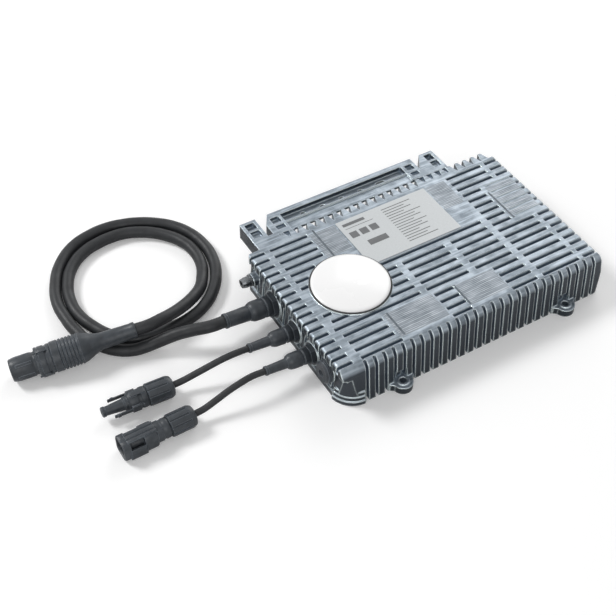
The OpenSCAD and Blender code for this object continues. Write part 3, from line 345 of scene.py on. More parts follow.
def casting_material():
    """Blasted die-cast aluminium: bluish grey with long flow marks; the walls carry a painted shade, the
    grooves a painted light, and the edges are rubbed lighter, with a painted highlight on the walls' edges.
    """
    cast = sizes("casting")
    made, tree, shader = new_material("Cast aluminium")
    grain = use_group(tree, "Surface grain", Fine=1500.0, Broad=90.0, Streak=30.0)
    rim = use_group(tree, "Edge rounding", Radius=cast.edge)
    open_air = use_group(tree, "Recess", Reach=cast.recess)["Open"]
    # Edges in the open get a lighter colour: a rubbed edge on the tops, and on the walls a painted highlight.
    bare = spread(tree, open_air, 0.1, 0.4, 0.0, 1.0)
    worn = figured(tree, "MULTIPLY", rim["Edge"], bare)
    tone = spread(tree, grain["Mottle"], 0.36, 0.66, 0.0, 1.0)
    flow = spread(tree, grain["Streaks"], 0.46, 0.66, 0.0, 0.6)
    colour = blend(tree, flow, blend(tree, tone, cast.shade, cast.colour), tinted(cast.colour, 1.45))

    # A face's slope tells the blasted tops from the walls, which take a painted shade much darker than the
    # tops.
    normal = node(tree, "ShaderNodeNewGeometry").outputs["Normal"]
    slope = node(tree, "ShaderNodeSeparateXYZ", {0: normal}).outputs["Z"]
    upright = spread(tree, slope, 0.25, 0.65, 1.0, 0.0)
    slanted = spread(tree, slope, 0.55, 0.95, 1.0, 0.0)

    # How many times lighter than its own face a hollow wall (a painted light), a top's edge (a rubbed edge) and
    # a wall's edge (a rubbed edge with a painted highlight) are.
    hollow_wall_light, top_edge, wall_edge_highlight = 7.0, 1.3, 3.3
    # Painted light: in grooves and inner corners the floors take the light groove colour and the walls a colour
    # many times lighter than their painted shade.
    hollow = blend(tree, upright, cast.groove, tinted(cast.wall, hollow_wall_light))
    # Painted shade on the upright walls.
    colour = blend(tree, upright, colour, cast.wall)
    # The occlusion mask sets where the painted light of the recesses takes over.
    colour = blend(tree, open_air, hollow, colour)
    # Painted highlight: a wall's edge is many times lighter than its face; a top's edge is only a little
    # lighter, as rubbed.
    edge = blend(tree, slanted, tinted(cast.colour, top_edge), tinted(cast.colour, wall_edge_highlight))
    tree.links.new(blend(tree, worn, colour, edge), shader["Base Color"])

    gloss = spread(tree, figured(tree, "MULTIPLY", worn, slanted), 0.0, 1.0, 0.35, 0.2)
    uneven = spread(tree, grain["Mottle"], 0.3, 0.7, 0.06, -0.06)
    tree.links.new(figured(tree, "ADD", gloss, uneven), shader["Roughness"])
    shader["Metallic"].default_value = 0.6
    bumped(tree, shader, grain["Height"], cast.grain, normal=rim["Normal"])
    return made


def jacket_material():
    """Soft black jacket with a faint bloom and a fine rubbery skin."""
    base = sizes("plastics").jacket
    return grained("Cable jacket", tinted(base, 1.5), tuple(base), 0.0, 0.46, fine=900.0, broad=120.0,
                   bump=0.00006, edge=0.0002, edge_light=1.1, shine=0.3)


def nylon_material():
    """Moulded black plastic with a spark-eroded skin and paler worn edges."""
    base = sizes("plastics").colour
    return grained("Moulded nylon", tinted(base, 1.5), tuple(base), 0.0, 0.36, fine=1800.0, broad=150.0,
                   bump=0.00004, edge=0.0005, edge_light=3.2, shine=0.32)


def plate_material():
    """Satin film with a brushed line along X."""
    made, tree, shader = new_material("Rating plate film")
    base = sizes("labels").plate
    grain = use_group(tree, "Surface grain", Fine=900.0, Broad=25.0, Streak=420.0)
    line = spread(tree, grain["Streaks"], 0.3, 0.7, 0.0, 1.0)
    tree.links.new(blend(tree, line, tinted(base, 0.88), tinted(base, 1.1)), shader["Base Color"])
    tree.links.new(spread(tree, grain["Streaks"], 0.3, 0.7, 0.42, 0.52), shader["Roughness"])
    shader["Metallic"].default_value = 0.25
    bumped(tree, shader, grain["Streaks"], 0.00001)
    return made


def ground_material():
    """Ground aluminium of the plain pads: greyer than the fins, with fine lines along X."""
    made, tree, shader = new_material("Ground pad")
    at = node(tree, "ShaderNodeTexCoord").outputs["Object"]
    grain = use_group(tree, "Surface grain", Fine=1200.0, Broad=70.0, Streak=60.0)
    lines = node(tree, "ShaderNodeTexWave", {
        "Vector": at, "Scale": 190.0, "Distortion": 1.2, "Detail": 2.0, "Detail Scale": 0.6},
        bands_direction="Y")
    crisp = spread(tree, lines.outputs["Fac"], 0.25, 0.75, 0.0, 1.0)
    base = blend(tree, spread(tree, grain["Streaks"], 0.4, 0.66, 0.0, 1.0),
                 (0.17, 0.195, 0.22), (0.36, 0.39, 0.42))
    dark = blend(tree, spread(tree, grain["Mottle"], 0.35, 0.65, 0.0, 1.0),
                 (0.10, 0.12, 0.14), (0.20, 0.225, 0.25))
    tree.links.new(blend(tree, crisp, dark, base), shader["Base Color"])
    tree.links.new(spread(tree, grain["Mottle"], 0.3, 0.7, 0.46, 0.32), shader["Roughness"])
    shader["Metallic"].default_value = 0.6
    bumped(tree, shader, crisp, 0.00006, strength=0.8)
    return made


def board_material():
    """Green solder mask with faint runs of copper under it."""
    made, tree, shader = new_material("Circuit board")
    at = node(tree, "ShaderNodeTexCoord").outputs["Object"]
    runs = node(tree, "ShaderNodeTexBrick", {
        "Vector": at, "Scale": 180.0, "Mortar Size": 0.06, "Color1": (1, 1, 1, 1),
        "Color2": (0.6, 0.6, 0.6, 1), "Mortar": (0, 0, 0, 1)})
    colour = blend(tree, runs.outputs["Fac"], (0.02, 0.13, 0.06), (0.05, 0.22, 0.10))
    tree.links.new(colour, shader["Base Color"])
    tree.links.new(spread(tree, runs.outputs["Fac"], 0.0, 1.0, 0.25, 0.38), shader["Roughness"])
    bumped(tree, shader, runs.outputs["Fac"], 0.00003, strength=0.6)
    return made


def winding_material():
    """Enamelled copper wire, turn beside turn."""
    made, tree, shader = new_material("Copper winding")
    at = node(tree, "ShaderNodeTexCoord").outputs["Object"]
    turns = node(tree, "ShaderNodeTexWave", {"Vector": at, "Scale": 260.0, "Distortion": 0.6},
                 bands_direction="Z")
    colour = blend(tree, turns.outputs["Fac"], (0.22, 0.07, 0.02), (0.72, 0.32, 0.12))
    tree.links.new(colour, shader["Base Color"])
    tree.links.new(spread(tree, turns.outputs["Fac"], 0.0, 1.0, 0.42, 0.22), shader["Roughness"])
    shader["Metallic"].default_value = 0.8
    bumped(tree, shader, turns.outputs["Fac"], 0.0003)
    return made


def badge_material():
    """Glossy white lacquer, a touch greyer where it has been handled."""
    made, tree, shader = new_material("White badge")
    base = sizes("labels").badge
    grain = use_group(tree, "Surface grain", Fine=500.0, Broad=18.0)
    tone = spread(tree, grain["Mottle"], 0.35, 0.7, 0.0, 1.0)
    tree.links.new(blend(tree, tone, base, tinted(base, 0.97)), shader["Base Color"])
    tree.links.new(spread(tree, grain["Mottle"], 0.3, 0.7, 0.22, 0.32), shader["Roughness"])
    shader["Coat Weight"].default_value = 0.4
    shader["Coat Roughness"].default_value = 0.08
    bumped(tree, shader, grain["Height"], 0.00001, strength=0.3)
    return made


def ink_material():
    """Matt dark grey of the plate's plain fields."""
    base = sizes("labels").ink
    return grained("Plate field grey", tuple(base), tinted(base, 0.8), 0.0, 0.5, bump=0.0, edge=0.0001)


# Finishes of the slots that need no more than a grain: name, light, dark, metallic, roughness, the rest.
PLAIN_FINISHES = {
    "sheet": ("Cover sheet", (0.52, 0.54, 0.55), (0.42, 0.44, 0.45), 0.9, 0.36, dict(streaks=0.5)),
    "rubber": ("Gasket rubber", (0.035, 0.035, 0.036), (0.02, 0.02, 0.02), 0.0, 0.7, dict(bump=0.00008)),
    "steel": ("Zinc steel", (0.22, 0.23, 0.24), (0.13, 0.14, 0.15), 1.0, 0.28, dict(broad=400.0)),
    "brass": ("Contact brass", (0.70, 0.52, 0.24), (0.52, 0.37, 0.16), 1.0, 0.26, dict(broad=300.0)),
    "tin": ("Tinned copper", (0.62, 0.61, 0.58), (0.50, 0.49, 0.46), 1.0, 0.3, dict(broad=300.0)),
    "ferrite": ("Ferrite", (0.07, 0.07, 0.072), (0.04, 0.04, 0.042), 0.1, 0.6, dict(broad=220.0)),
    "can": ("Capacitor sleeve", (0.05, 0.08, 0.16), (0.03, 0.05, 0.11), 0.0, 0.3, dict(broad=90.0)),
    "film": ("Film capacitor", (0.62, 0.48, 0.22), (0.52, 0.38, 0.16), 0.0, 0.42, dict(broad=120.0)),
    "relay": ("Relay case", (0.66, 0.66, 0.62), (0.58, 0.58, 0.54), 0.0, 0.4, dict(broad=100.0)),
    "epoxy": ("Chip epoxy", (0.028, 0.028, 0.03), (0.018, 0.018, 0.02), 0.0, 0.55, dict(broad=300.0)),
    "pad": ("Thermal pad", (0.44, 0.36, 0.44), (0.36, 0.29, 0.37), 0.0, 0.75, dict(bump=0.0001)),
    "terminal": ("Terminal block", (0.05, 0.24, 0.11), (0.03, 0.17, 0.08), 0.0, 0.42, dict(broad=130.0)),
    "fuse": ("Fuse tube", (0.66, 0.63, 0.56), (0.52, 0.50, 0.45), 0.3, 0.3, dict(broad=260.0)),
}


def make_finishes():
    """Builds every material once: one for each of the record's slots, and those of the flat fields."""
    edge_rounding_group()
    recess_group()
    grain_group()
    made = {
        "casting": casting_material(), "jacket": jacket_material(), "nylon": nylon_material(),
        "plate": plate_material(), "board": board_material(), "copper": winding_material(),
        "badge": badge_material(), "ground": ground_material(),
        # Painted shade: the dark strips laid over the thin grooves at the pads' borders.
        "painted_groove_shade": grained("Painted groove shade", (0.10, 0.12, 0.14), (0.06, 0.075, 0.09), 0.3, 0.5, broad=300.0),
        "ink": ink_material(),
    }
    for slot, (name, light, dark, metallic, roughness, rest) in PLAIN_FINISHES.items():
        made[slot] = grained(name, light, dark, metallic, roughness, **rest)
    return made


# Filled by the finishes step, and read by the steps after it.
FINISHES = {}


def local_frame(start, forward):
    """Place of a turned piece: Z along its axis from the start, X upwards."""
    z = Vector(forward).normalized()
    up = Vector((0, 0, 1)) if abs(z.z) < 0.99 else Vector((1, 0, 0))
    x = (up - z * up.dot(z)).normalized()
    made = Matrix((x, z.cross(x), z)).transposed().to_4x4()
    made.translation = Vector(start)
    return made


def turned(bm, profile, place, sides):
    """Spins a closed outline of (along, radius) in mm about a place's Z axis, in so many sides."""
    ring = [bm.verts.new(place @ Vector((r * MM, 0, u * MM))) for u, r in profile]
    edges = [bm.edges.new(pair) for pair in zip(ring, ring[1:] + ring[:1])]
    bmesh.ops.spin(bm, geom=ring + edges, cent=place.translation, axis=place.col[2].to_3d(),
                   angle=2 * math.pi, steps=sides, use_merge=True)


def boxed(bm, place, low, high):
    """Adds a box between two corners, in mm, in a place's frame."""
    low, high = Vector(low), Vector(high)
    middle, span = Matrix.Translation((low + high) / 2 * MM), Matrix.Diagonal((*((high - low) * MM), 1))
    bmesh.ops.create_cube(bm, size=1, matrix=place @ middle @ span)


def flat_field(bm, centre, half_width, half_depth):
    """Adds one flat rectangle about a centre, in metres."""
    bmesh.ops.create_grid(bm, x_segments=1, y_segments=1, size=1,
                          matrix=Matrix.Translation(centre) @ Matrix.Diagonal((half_width, half_depth, 1, 1)))


def rounded_square(half, corner, steps=5):
    """Points of a square's outline with rounded corners, in mm."""
    points = []
    for quarter in range(4):
        turn = Matrix.Rotation(quarter * math.pi / 2, 2)
        for i in range(steps + 1):
            a = math.pi / 2 * i / steps
            points.append(turn @ Vector((half - corner + corner * math.cos(a),
                                         half - corner + corner * math.sin(a))))
    return points


def lofted(bm, place, stations):
    """Bridges rounded squares of (along, half side, corner radius) into a closed sleeve."""
    rings = []
    for along, half, corner in stations:
        ring = [bm.verts.new(place @ Vector((p.x * MM, p.y * MM, along * MM)))
                for p in rounded_square(half, corner)]
        rings.append([bm.edges.new(pair) for pair in zip(ring, ring[1:] + ring[:1])])
    for one, other in zip(rings, rings[1:] + rings[:1]):
        bmesh.ops.bridge_loops(bm, edges=one + other)


def clean(bm):
    """Merges doubled vertices and turns the faces outwards."""
    bmesh.ops.remove_doubles(bm, verts=bm.verts, dist=2e-6)
    bmesh.ops.recalc_face_normals(bm, faces=bm.faces)


def soften(bm, width):
    """Rounds every edge that turns by more than 50 degrees, by a width in mm."""
    clean(bm)
    least = math.radians(50)
    sharp = [e for e in bm.edges if len(e.link_faces) == 2 and e.calc_face_angle(0) > least]
    bmesh.ops.bevel(bm, geom=sharp, offset=width * MM, offset_type="OFFSET", segments=2,
                    profile=0.5, affect="EDGES", clamp_overlap=True, material=-1)


def to_piece(bm, name, slot, sharp=35, finish=None):
    """Makes the bmesh a piece that rides on the inverter, with its slot's finish or a named one."""
    clean(bm)
    mesh = bpy.data.meshes.new(name)
    bm.to_mesh(mesh)
    bm.free()
    mesh.materials.append(FINISHES[finish or slot])
    mesh.shade_smooth()
    mesh.set_sharp_from_angle(angle=math.radians(sharp))
    piece = bpy.data.objects.new(name, mesh)
    bpy.context.scene.collection.objects.link(piece)
    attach(piece, "root")
    return piece


def cable_curve(name, route, diameter):
    """A round cable on one smooth open line through the route's points."""
    line = bpy.data.curves.new(name, "CURVE")
    line.dimensions = "3D"
    line.resolution_u = 8
    line.bevel_depth = diameter / 2
    line.bevel_resolution = 7
    line.use_fill_caps = True
    spline = line.splines.new("BEZIER")
    spline.bezier_points.add(len(route) - 1)
    for point, place in zip(spline.bezier_points, route):
        point.co = place
        point.handle_left_type = point.handle_right_type = "AUTO"
    line.materials.append(FINISHES["jacket"])
    piece = bpy.data.objects.new(name, line)
    bpy.context.scene.collection.objects.link(piece)
    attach(piece, "root")
    return piece


class MICROINVERTER_OT_finishes(bpy.types.Operator):
    """Builds the finishes and gives one to each CAD node by the record's slot"""
    bl_idname = "microinverter.finishes"
    bl_label = "Finishes"

    def execute(self, context):
        FINISHES.update(make_finishes())
        for name, cad in CAD.items():
            cad.data.materials.clear()
            cad.data.materials.append(FINISHES[SLOT_OF[name]])
        return {"FINISHED"}


class MICROINVERTER_OT_round_connector(bpy.types.Operator):
    """Turns the output connector's body: neck, cone, ringed grip and shoulder"""
    bl_idname = "microinverter.round_connector"
    bl_label = "Round connector"

    def execute(self, context):
        place = local_frame(*ROUND_PLUG)
        count, grip_start, grip_length = sizes("plastics").grip_rings, 46, 17.0
        outline = [(0, 5.4), (0, 6.4), (0.4, 6.8), (3, 6.8), (3.6, 6.5), (18, 6.9), (29, 7.1), (33, 7.9),
                   (39, 10.2), (43.5, 12.1), (45.4, 12.5)]
        step = grip_length / count
        for i in range(count):
            z = grip_start + i * step
            outline += [(z + 0.1, 12.6), (z + 0.4, 12.95), (z + 0.5 * step, 13), (z + 0.66 * step, 12.85),
                        (z + 0.78 * step, 12.1), (z + 0.93 * step, 12.1)]
        outline += [(63.2, 12.6), (63.6, 13), (69.2, 12.9), (70, 12.2), (70, 11), (46, 11), (30, 5.4)]
        bm = bmesh.new()
        turned(bm, outline, place, 96)
        piece = to_piece(bm, "round_connector_body", "nylon", 40)
        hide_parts("ac_plug_body")

        outline = [
            (60, 8.4), (60, 10.95), (70.1, 10.95), (70.1, 11.9), (70.5, 12.3), (72.6, 12.3), (73.1, 11.6),
            (74.6, 11.6), (75.1, 12.3), (79.4, 12.3), (79.8, 11.9), (80.4, 11.9), (80.8, 12.3), (82.2, 12.3),
            (82.7, 11.8), (82.7, 10.1), (83.6, 9.5), (85.4, 9.5), (86.0, 10), (100.4, 10), (103.2, 9.5),
            (104.2, 9.0), (104.2, 8.6), (91, 8.6), (91, 7.4), (88, 7.4), (88, 8.4)]
        bm = bmesh.new()
        turned(bm, outline, place, 96)

        # Six ribs along the collar, and three bayonet lugs round it.
        for i in range(6):
            spoke = place @ Matrix.Rotation(math.radians(30 + 60 * i), 4, "Z")
            boxed(bm, spoke, (9.4, -1.1, 86.5), (10.35, 1.1, 99.5))
        for turn in (0, 120, 240):
            spoke = place @ Matrix.Rotation(math.radians(turn), 4, "Z")
            boxed(bm, spoke, (11.8, -2, 72), (13.4, 2, 81))
            boxed(bm, spoke, (11.8, -1.2, 81), (12.9, 1.2, 83.6))
        soften(bm, 0.25)
        piece = to_piece(bm, "round_connector_collar", "nylon", 40)
        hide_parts("ac_plug_ring")
        return {"FINISHED"}


class MICROINVERTER_OT_panel_connectors(bpy.types.Operator):
    """Builds the bodies of the two panel connectors: the snout with its arms, and the socket"""
    bl_idname = "microinverter.panel_connectors"
    bl_label = "Panel connectors"

    def execute(self, context):
        # The snout: a turned body, and on each side a latch arm with its root and its catch.
        place = local_frame(*SNOUT_PLUG)
        outline = [
            (8, 2.95), (8, 7.55), (22.1, 7.55), (22.8, 8.3), (24.6, 8.6), (27.2, 8.6), (27.8, 7.6), (30.2, 7.6),
            (30.8, 8.4), (35.4, 8.4), (37.4, 7.8), (38.5, 7.0), (38.5, 6.1), (41, 6), (42, 4.9), (56.6, 3.75),
            (57.2, 4.3), (59.3, 4.3), (60, 3.7), (60, 2.25), (16.2, 2.25), (16.2, 2.95)]
        bm = bmesh.new()
        turned(bm, outline, place, 64)
        for side in (-1, 1):
            flank = place @ Matrix.Diagonal((1, side, 1, 1))
            boxed(bm, flank, (-3.2, 6.6, 29.6), (3.2, 9.2, 37))
            boxed(bm, flank, (-2.2, 6.2, 27), (2.2, 8.6, 30))
            boxed(bm, flank, (-1.6, 8.0, 36.5), (1.6, 9.2, 52))
            boxed(bm, flank, (-1.6, 8.4, 47), (1.6, 9.8, 49.6))
        boxed(bm, place, (7.6, -2.6, 24), (9.1, 2.6, 36))
        soften(bm, 0.3)
        piece = to_piece(bm, "snout_body", "nylon", 40)
        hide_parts("dc_plug_body")

        # The socket: a turned neck, a square sleeve in two parts with a window on each side between
        # them, the contact's tube inside it, and three ribs along its top.
        place = local_frame(*SOCKET_PLUG)
        bm = bmesh.new()
        turned(bm, [(8, 2.95), (8, 7.55), (22.1, 7.55), (22.8, 8.2), (26.5, 8.4), (27.2, 7.9), (28.8, 7.9),
                    (29.5, 8.5), (34.5, 8.5), (34.5, 2.25), (16.2, 2.25), (16.2, 2.95)], place, 64)
        lofted(bm, place, [(33.4, 3.9, 3.9), (33.4, 7.6, 6.4), (34.6, 8.6, 5.0), (35.4, 8.8, 4.5),
                           (45, 8.8, 4.5), (45, 7.2, 3.0), (42, 7.2, 3.0), (42, 3.9, 3.9)])
        lofted(bm, place, [(57, 7.2, 3.0), (57, 8.8, 4.5), (62.4, 8.8, 4.5), (63, 8.3, 4.2), (63, 7.6, 3.4),
                           (61.8, 7.2, 3.0)])
        turned(bm, [(38, 3.8), (38, 5.2), (55.4, 5.2), (56, 4.8), (56, 3.8)], place, 48)
        boxed(bm, place, (-8.8, -7.4, 44), (-7.2, 7.4, 58))
        boxed(bm, place, (7.2, -5.3, 44), (8.8, 5.3, 58))
        for side in (-1, 1):
            flank = place @ Matrix.Diagonal((1, side, 1, 1))
            boxed(bm, flank, (-8.2, 7.2, 44), (2.6, 8.8, 58))
            boxed(bm, flank, (8.3, 2.9, 34), (9.7, 4.9, 58))
        boxed(bm, place, (8.2, -4.9, 34), (9.0, 4.9, 58))
        boxed(bm, place, (8.3, -1.5, 34), (9.7, 1.5, 58))
        boxed(bm, place, (8.3, -1.4, 58), (9.3, 1.4, 62.4))
        soften(bm, 0.3)
        piece = to_piece(bm, "socket_body", "nylon", 40)
        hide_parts("dc_socket_body")
        return {"FINISHED"}


class MICROINVERTER_OT_gland_caps(bpy.types.Operator):
    """Turns the three gland caps with their tapered bend reliefs"""
    bl_idname = "microinverter.gland_caps"
    bl_label = "Gland caps"

    def execute(self, context):
        for key, node_name, cable, thread, length in (
                ("output", "ac_gland_cap", 5.25, 8.0, 46), ("rear", "dc_gland_cap_rear", 2.75, 6.0, 43),
                ("front", "dc_gland_cap_front", 2.75, 6.0, 43)):
            r = thread + 0.9
            outline = [
                (4, thread - 0.55), (4, r - 0.5), (4.6, r), (8.6, r), (9.2, r - 0.6), (10.6, r - 0.6),
                (11.2, r), (18.6, r - 0.1), (20.6, r - 0.5), (22.4, r - 1.3), (23.6, r - 2.6),
                (24.2, cable + 1.5), (length - 6, cable + 1.05), (length - 2.6, cable + 0.95),
                (length - 2.2, cable + 1.3), (length - 0.3, cable + 1.3), (length, cable + 1.0),
                (length, cable + 0.15), (13.1, cable + 0.15), (13.1, thread - 0.55)]
            bm = bmesh.new()
            turned(bm, outline, local_frame(GLAND_FOOT[key], GLAND_AXIS), 72)
            piece = to_piece(bm, "gland_cap_" + key, "nylon", 40)
            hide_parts(node_name)
        return {"FINISHED"}


class MICROINVERTER_OT_cables(bpy.types.Operator):
    """Lays the output cable in its loop of two turns, and the two panel leads"""
    bl_idname = "microinverter.cables"
    bl_label = "Cables"

    def execute(self, context):
        plastics = sizes("plastics")
        # Name, CAD node, route, diameter, length, stiffness and lay, then what is on its end.
        cables = (
            ("output_cable", "ac_cable", OUTPUT_ROUTE, plastics.output_diameter, OUTPUT_LENGTH,
             "stiff", "coiled",
             ("round_connector_body", "round_connector_collar", "ac_plug_insert", "ac_plug_contacts",
              "ac_cable_plug_end")),
            ("rear_lead", "dc_cable_rear", REAR_ROUTE, plastics.lead_diameter, REAR_LENGTH,
             "medium", "loose",
             ("snout_body", "dc_plug_nut", "dc_plug_contact", "dc_cable_plug_end")),
            ("front_lead", "dc_cable_front", FRONT_ROUTE, plastics.lead_diameter, FRONT_LENGTH,
             "medium", "loose",
             ("socket_body", "dc_socket_nut", "dc_socket_contact", "dc_cable_socket_end")),
        )
        for name, node_name, route, diameter, length, stiffness, lay, on_it in cables:
            piece = cable_curve(name, route, diameter)
            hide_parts(node_name)
        return {"FINISHED"}


class MICROINVERTER_OT_badge(bpy.types.Operator):
    """Turns the domed white badge with a rolled rim"""
    bl_idname = "microinverter.badge"
    bl_label = "Badge"

    def execute(self, context):
        low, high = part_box("badge")
        centre = (low + high) / 2
        r = (high.x - low.x) / 2 / MM
        z0, z1 = low.z / MM, high.z / MM
        outline = [(z0, 0), (z0, r - 0.4), (z0 + 0.4, r), (z0 + 1.0, r), (z0 + 1.45, r - 0.25)]
        edge = z0 + 1.6
        for i in range(1, 15):
            a = r * (1 - i / 14) * 0.985
            outline.append((edge + (z1 - edge) * (1 - (a / r) ** 2), a))
        bm = bmesh.new()
        turned(bm, outline, local_frame((centre.x, centre.y, 0), (0, 0, 1)), 128)
        piece = to_piece(bm, "badge_dome", "badge", 60)
        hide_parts("badge")

        # The dark ring that shows round the badge's foot.
        bm = bmesh.new()
        turned(bm, [(z0 + 0.02, r + 0.05), (z0 + 0.02, r + 1.5), (z0 + 0.18, r + 1.35), (z0 + 0.45, r + 0.05)],
               local_frame((centre.x, centre.y, 0), (0, 0, 1)), 128)
        to_piece(bm, "badge_dark_ring", "rubber", 60)
        return {"FINISHED"}


class MICROINVERTER_OT_plate_fields(bpy.types.Operator):
    """Lays a layout of plain grey fields and lines on the rating plate"""
    bl_idname = "microinverter.plate_fields"
    bl_label = "Plate fields"

    def execute(self, context):
        low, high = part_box("rating_plate")
        # Left, foot, width and height of each field, in mm from the plate's corner.
        fields = [(4, 50, 22, 3.4), (4, 46.6, 28, 0.6), (4, 34.5, 7.5, 7.5), (14, 34.5, 7.5, 7.5),
                  (24, 34.5, 7.5, 7.5), (13, 20, 19, 6.5)]
        widths = (30, 22, 27, 18, 33, 25, 29, 20, 31, 24, 28, 17, 26, 21, 30)
        fields += [(44, 52 - i * 3.2, w, 0.85) for i, w in enumerate(widths)]
        bm = bmesh.new()
        for x, y, w, h in fields:
            centre = (low.x + (x + w / 2) * MM, low.y + (y + h / 2) * MM, high.z + FIELD_LIFT)
            flat_field(bm, centre, w / 2 * MM, h / 2 * MM)
        to_piece(bm, "plate_fields", "plate", finish="ink")
        return {"FINISHED"}


class MICROINVERTER_OT_ground_pads(bpy.types.Operator):
    """Lays the ground faces of the plain pads on the housing's top, and dark strips of painted shade over the
    grooves at their borders
    """
    bl_idname = "microinverter.ground_pads"
    bl_label = "Ground pads"

    def execute(self, context):
        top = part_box("rating_plate")[0].z
        pads = [(-61.2, -17.5, -77.0, -49.5), (-64.6, -61.7, -77.0, -49.5), (4.9, 43.0, -77.0, -51.5),
                (-68.5, -63.8, 28.0, 60.0), (-62.0, -43.5, 28.0, 60.0), (52.5, 73.0, 28.0, 60.0)]
        # The right-hand pad shows as five strips between the grooves, one row of fins apart.
        row, first, half_groove = 8.7, 34.4, 1.45
        pads += [(99.6, 128.0, first + half_groove - row * i - row, first - half_groove - row * i)
                 for i in range(5)]
        bm = bmesh.new()
        for x0, x1, y0, y1 in pads:
            centre = ((x0 + x1) / 2 * MM, (y0 + y1) / 2 * MM, top + PAD_LIFT)
            flat_field(bm, centre, (x1 - x0) / 2 * MM, (y1 - y0) / 2 * MM)
        to_piece(bm, "ground_pads", "casting", finish="ground")

        # Painted shade: a dark strip runs along Y from its first end to its second over the groove at the left
        # border of a pad, in place of the shade in that groove.
        bm = bmesh.new()
        for x, y0, y1 in ((-63.5, 27, 64), (-61.5, -76, -49), (3.5, -76, -51), (98, -11, 27)):
            centre = ((x + 0.6) * MM, (y0 + y1) / 2 * MM, top + GROOVE_SHADE_LIFT)
            flat_field(bm, centre, 0.95 * MM, (y1 - y0) / 2 * MM)
        to_piece(bm, "pad_groove_shade", "casting", finish="painted_groove_shade")
        return {"FINISHED"}


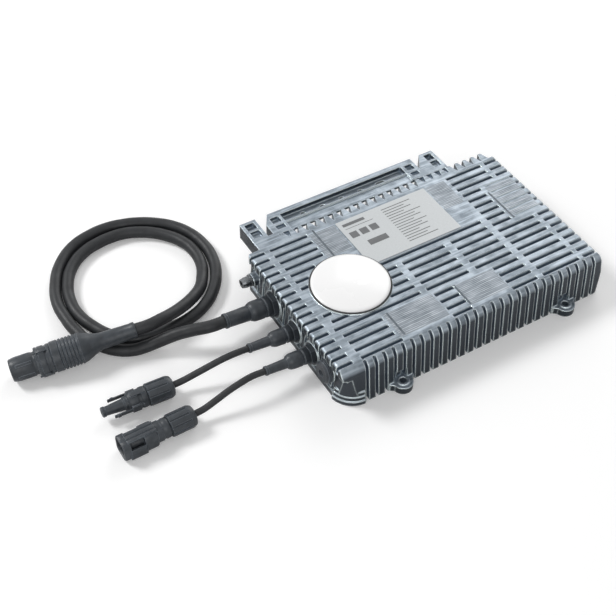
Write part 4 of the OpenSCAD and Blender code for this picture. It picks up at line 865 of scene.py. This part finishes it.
class MICROINVERTER_OT_stage(bpy.types.Operator):
    """Sets the floor, the lamps, the room light and the camera"""
    bl_idname = "microinverter.stage"
    bl_label = "Stage"

    def execute(self, context):
        scene = context.scene
        stage = sizes("stage")
        bm = bmesh.new()
        bmesh.ops.create_grid(bm, x_segments=8, y_segments=8, size=6)
        mesh = bpy.data.meshes.new("floor")
        bm.to_mesh(mesh)
        bm.free()
        made, tree, shader = new_material("White floor")
        shader["Base Color"].default_value = (0.93, 0.93, 0.93, 1)
        shader["Roughness"].default_value = 0.8
        shader["Specular IOR Level"].default_value = 0.2
        shader["Emission Color"].default_value = (1, 1, 1, 1)
        # The floor fades to white away from the object, so that it has no horizon.
        at = node(tree, "ShaderNodeTexCoord").outputs["Object"]
        away = node(tree, "ShaderNodeVectorMath", {0: at}, operation="LENGTH").outputs["Value"]
        seen = node(tree, "ShaderNodeLightPath").outputs["Is Camera Ray"]
        lift = figured(tree, "MULTIPLY", seen, spread(tree, away, 0.4, 1.3, 0.14, 0.8))
        tree.links.new(lift, shader["Emission Strength"])
        mesh.materials.append(made)
        floor = bpy.data.objects.new("floor", mesh)
        floor.location.z = -0.0002
        scene.collection.objects.link(floor)

        world = bpy.data.worlds.new("Studio")
        world.use_nodes = True
        scene.world = world
        tree = world.node_tree
        tree.nodes.clear()
        rays = node(tree, "ShaderNodeLightPath").outputs
        mirrored = figured(tree, "MAXIMUM", rays["Is Camera Ray"], rays["Is Glossy Ray"])
        seen = figured(tree, "MAXIMUM", mirrored, rays["Is Transmission Ray"])
        strength = spread(tree, seen, 0.0, 1.0, stage.room_light, 1.0)
        sky = node(tree, "ShaderNodeBackground", {"Color": (1, 1, 1, 1), "Strength": strength})
        tree.links.new(sky.outputs[0], tree.nodes.new("ShaderNodeOutputWorld").inputs[0])

        # Each lamp's name, place, power and width. All three look at the foot of the object.
        target = Vector((0, 0, 0.02))
        for name, place, power, size in (
                ("key_lamp", (-1.25, 1.35, 1.7), stage.key_power, 0.7),
                ("back_lamp", (1.7, 1.3, 1.3), stage.back_power, 1.7),
                ("fill_lamp", (-1.0, -1.5, 1.3), stage.fill_power, 1.4)):
            lamp = bpy.data.lights.new(name, "AREA")
            lamp.energy, lamp.size = power, size
            thing = bpy.data.objects.new(name, lamp)
            thing.location = place
            aim = target - Vector(place)
            thing.rotation_euler = aim.to_track_quat("-Z", "Y").to_euler()
            scene.collection.objects.link(thing)

        # The camera stands where the photograph was taken from: its axes, and then its place.
        lens = bpy.data.cameras.new("camera")
        lens.lens, lens.sensor_width = stage.lens, 36
        lens.clip_start, lens.clip_end = 0.01, 50
        camera = bpy.data.objects.new("camera", lens)
        right = Vector((0.85926, -0.51143, 0.00970))
        up = Vector((0.37010, 0.63468, 0.67839))
        back = Vector((-0.35310, -0.57934, 0.73464))
        turn = Matrix((right, up, back)).transposed().to_4x4()
        turn.translation = Vector((-0.4362, -0.5435, 0.7140))
        camera.matrix_world = turn
        scene.collection.objects.link(camera)
        scene.camera = camera
        scene.view_settings.view_transform = "Standard"
        return {"FINISHED"}


STEPS = (
    MICROINVERTER_OT_stage, MICROINVERTER_OT_finishes, MICROINVERTER_OT_round_connector,
    MICROINVERTER_OT_panel_connectors, MICROINVERTER_OT_cables, MICROINVERTER_OT_gland_caps,
    MICROINVERTER_OT_badge, MICROINVERTER_OT_plate_fields, MICROINVERTER_OT_ground_pads,
)
GROUPS = {
    "casting": MicroinverterCasting, "plastics": MicroinverterPlastics,
    "labels": MicroinverterLabels, "stage": MicroinverterStage,
}


class MICROINVERTER_PT_panel(bpy.types.Panel):
    """Sizes, colours and steps of the microinverter's looks"""
    bl_idname = "MICROINVERTER_PT_panel"
    bl_label = "Microinverter"
    bl_space_type = "VIEW_3D"
    bl_region_type = "UI"
    bl_category = "Microinverter"

    def draw(self, context):
        for key, group in GROUPS.items():
            box = self.layout.box()
            for name in group.__annotations__:
                box.prop(sizes(key), name)
        for step in STEPS:
            self.layout.operator(step.bl_idname)


def register():
    """Adds the groups of values, the steps and the panel to Blender."""
    for cls in (*GROUPS.values(), *STEPS, MICROINVERTER_PT_panel):
        bpy.utils.register_class(cls)
    for key, group in GROUPS.items():
        setattr(bpy.types.Scene, "microinverter_" + key, PointerProperty(type=group))


def unregister():
    """Takes them away again."""
    for key in GROUPS:
        delattr(bpy.types.Scene, "microinverter_" + key)
    for cls in reversed((*GROUPS.values(), *STEPS, MICROINVERTER_PT_panel)):
        bpy.utils.unregister_class(cls)


def main():
    """Runs every step in turn."""
    register()
    for step in STEPS:
        family, name = step.bl_idname.split(".")
        getattr(getattr(bpy.ops, family), name)()
    bpy.context.view_layer.update()


if __name__ == "__main__":
    main()
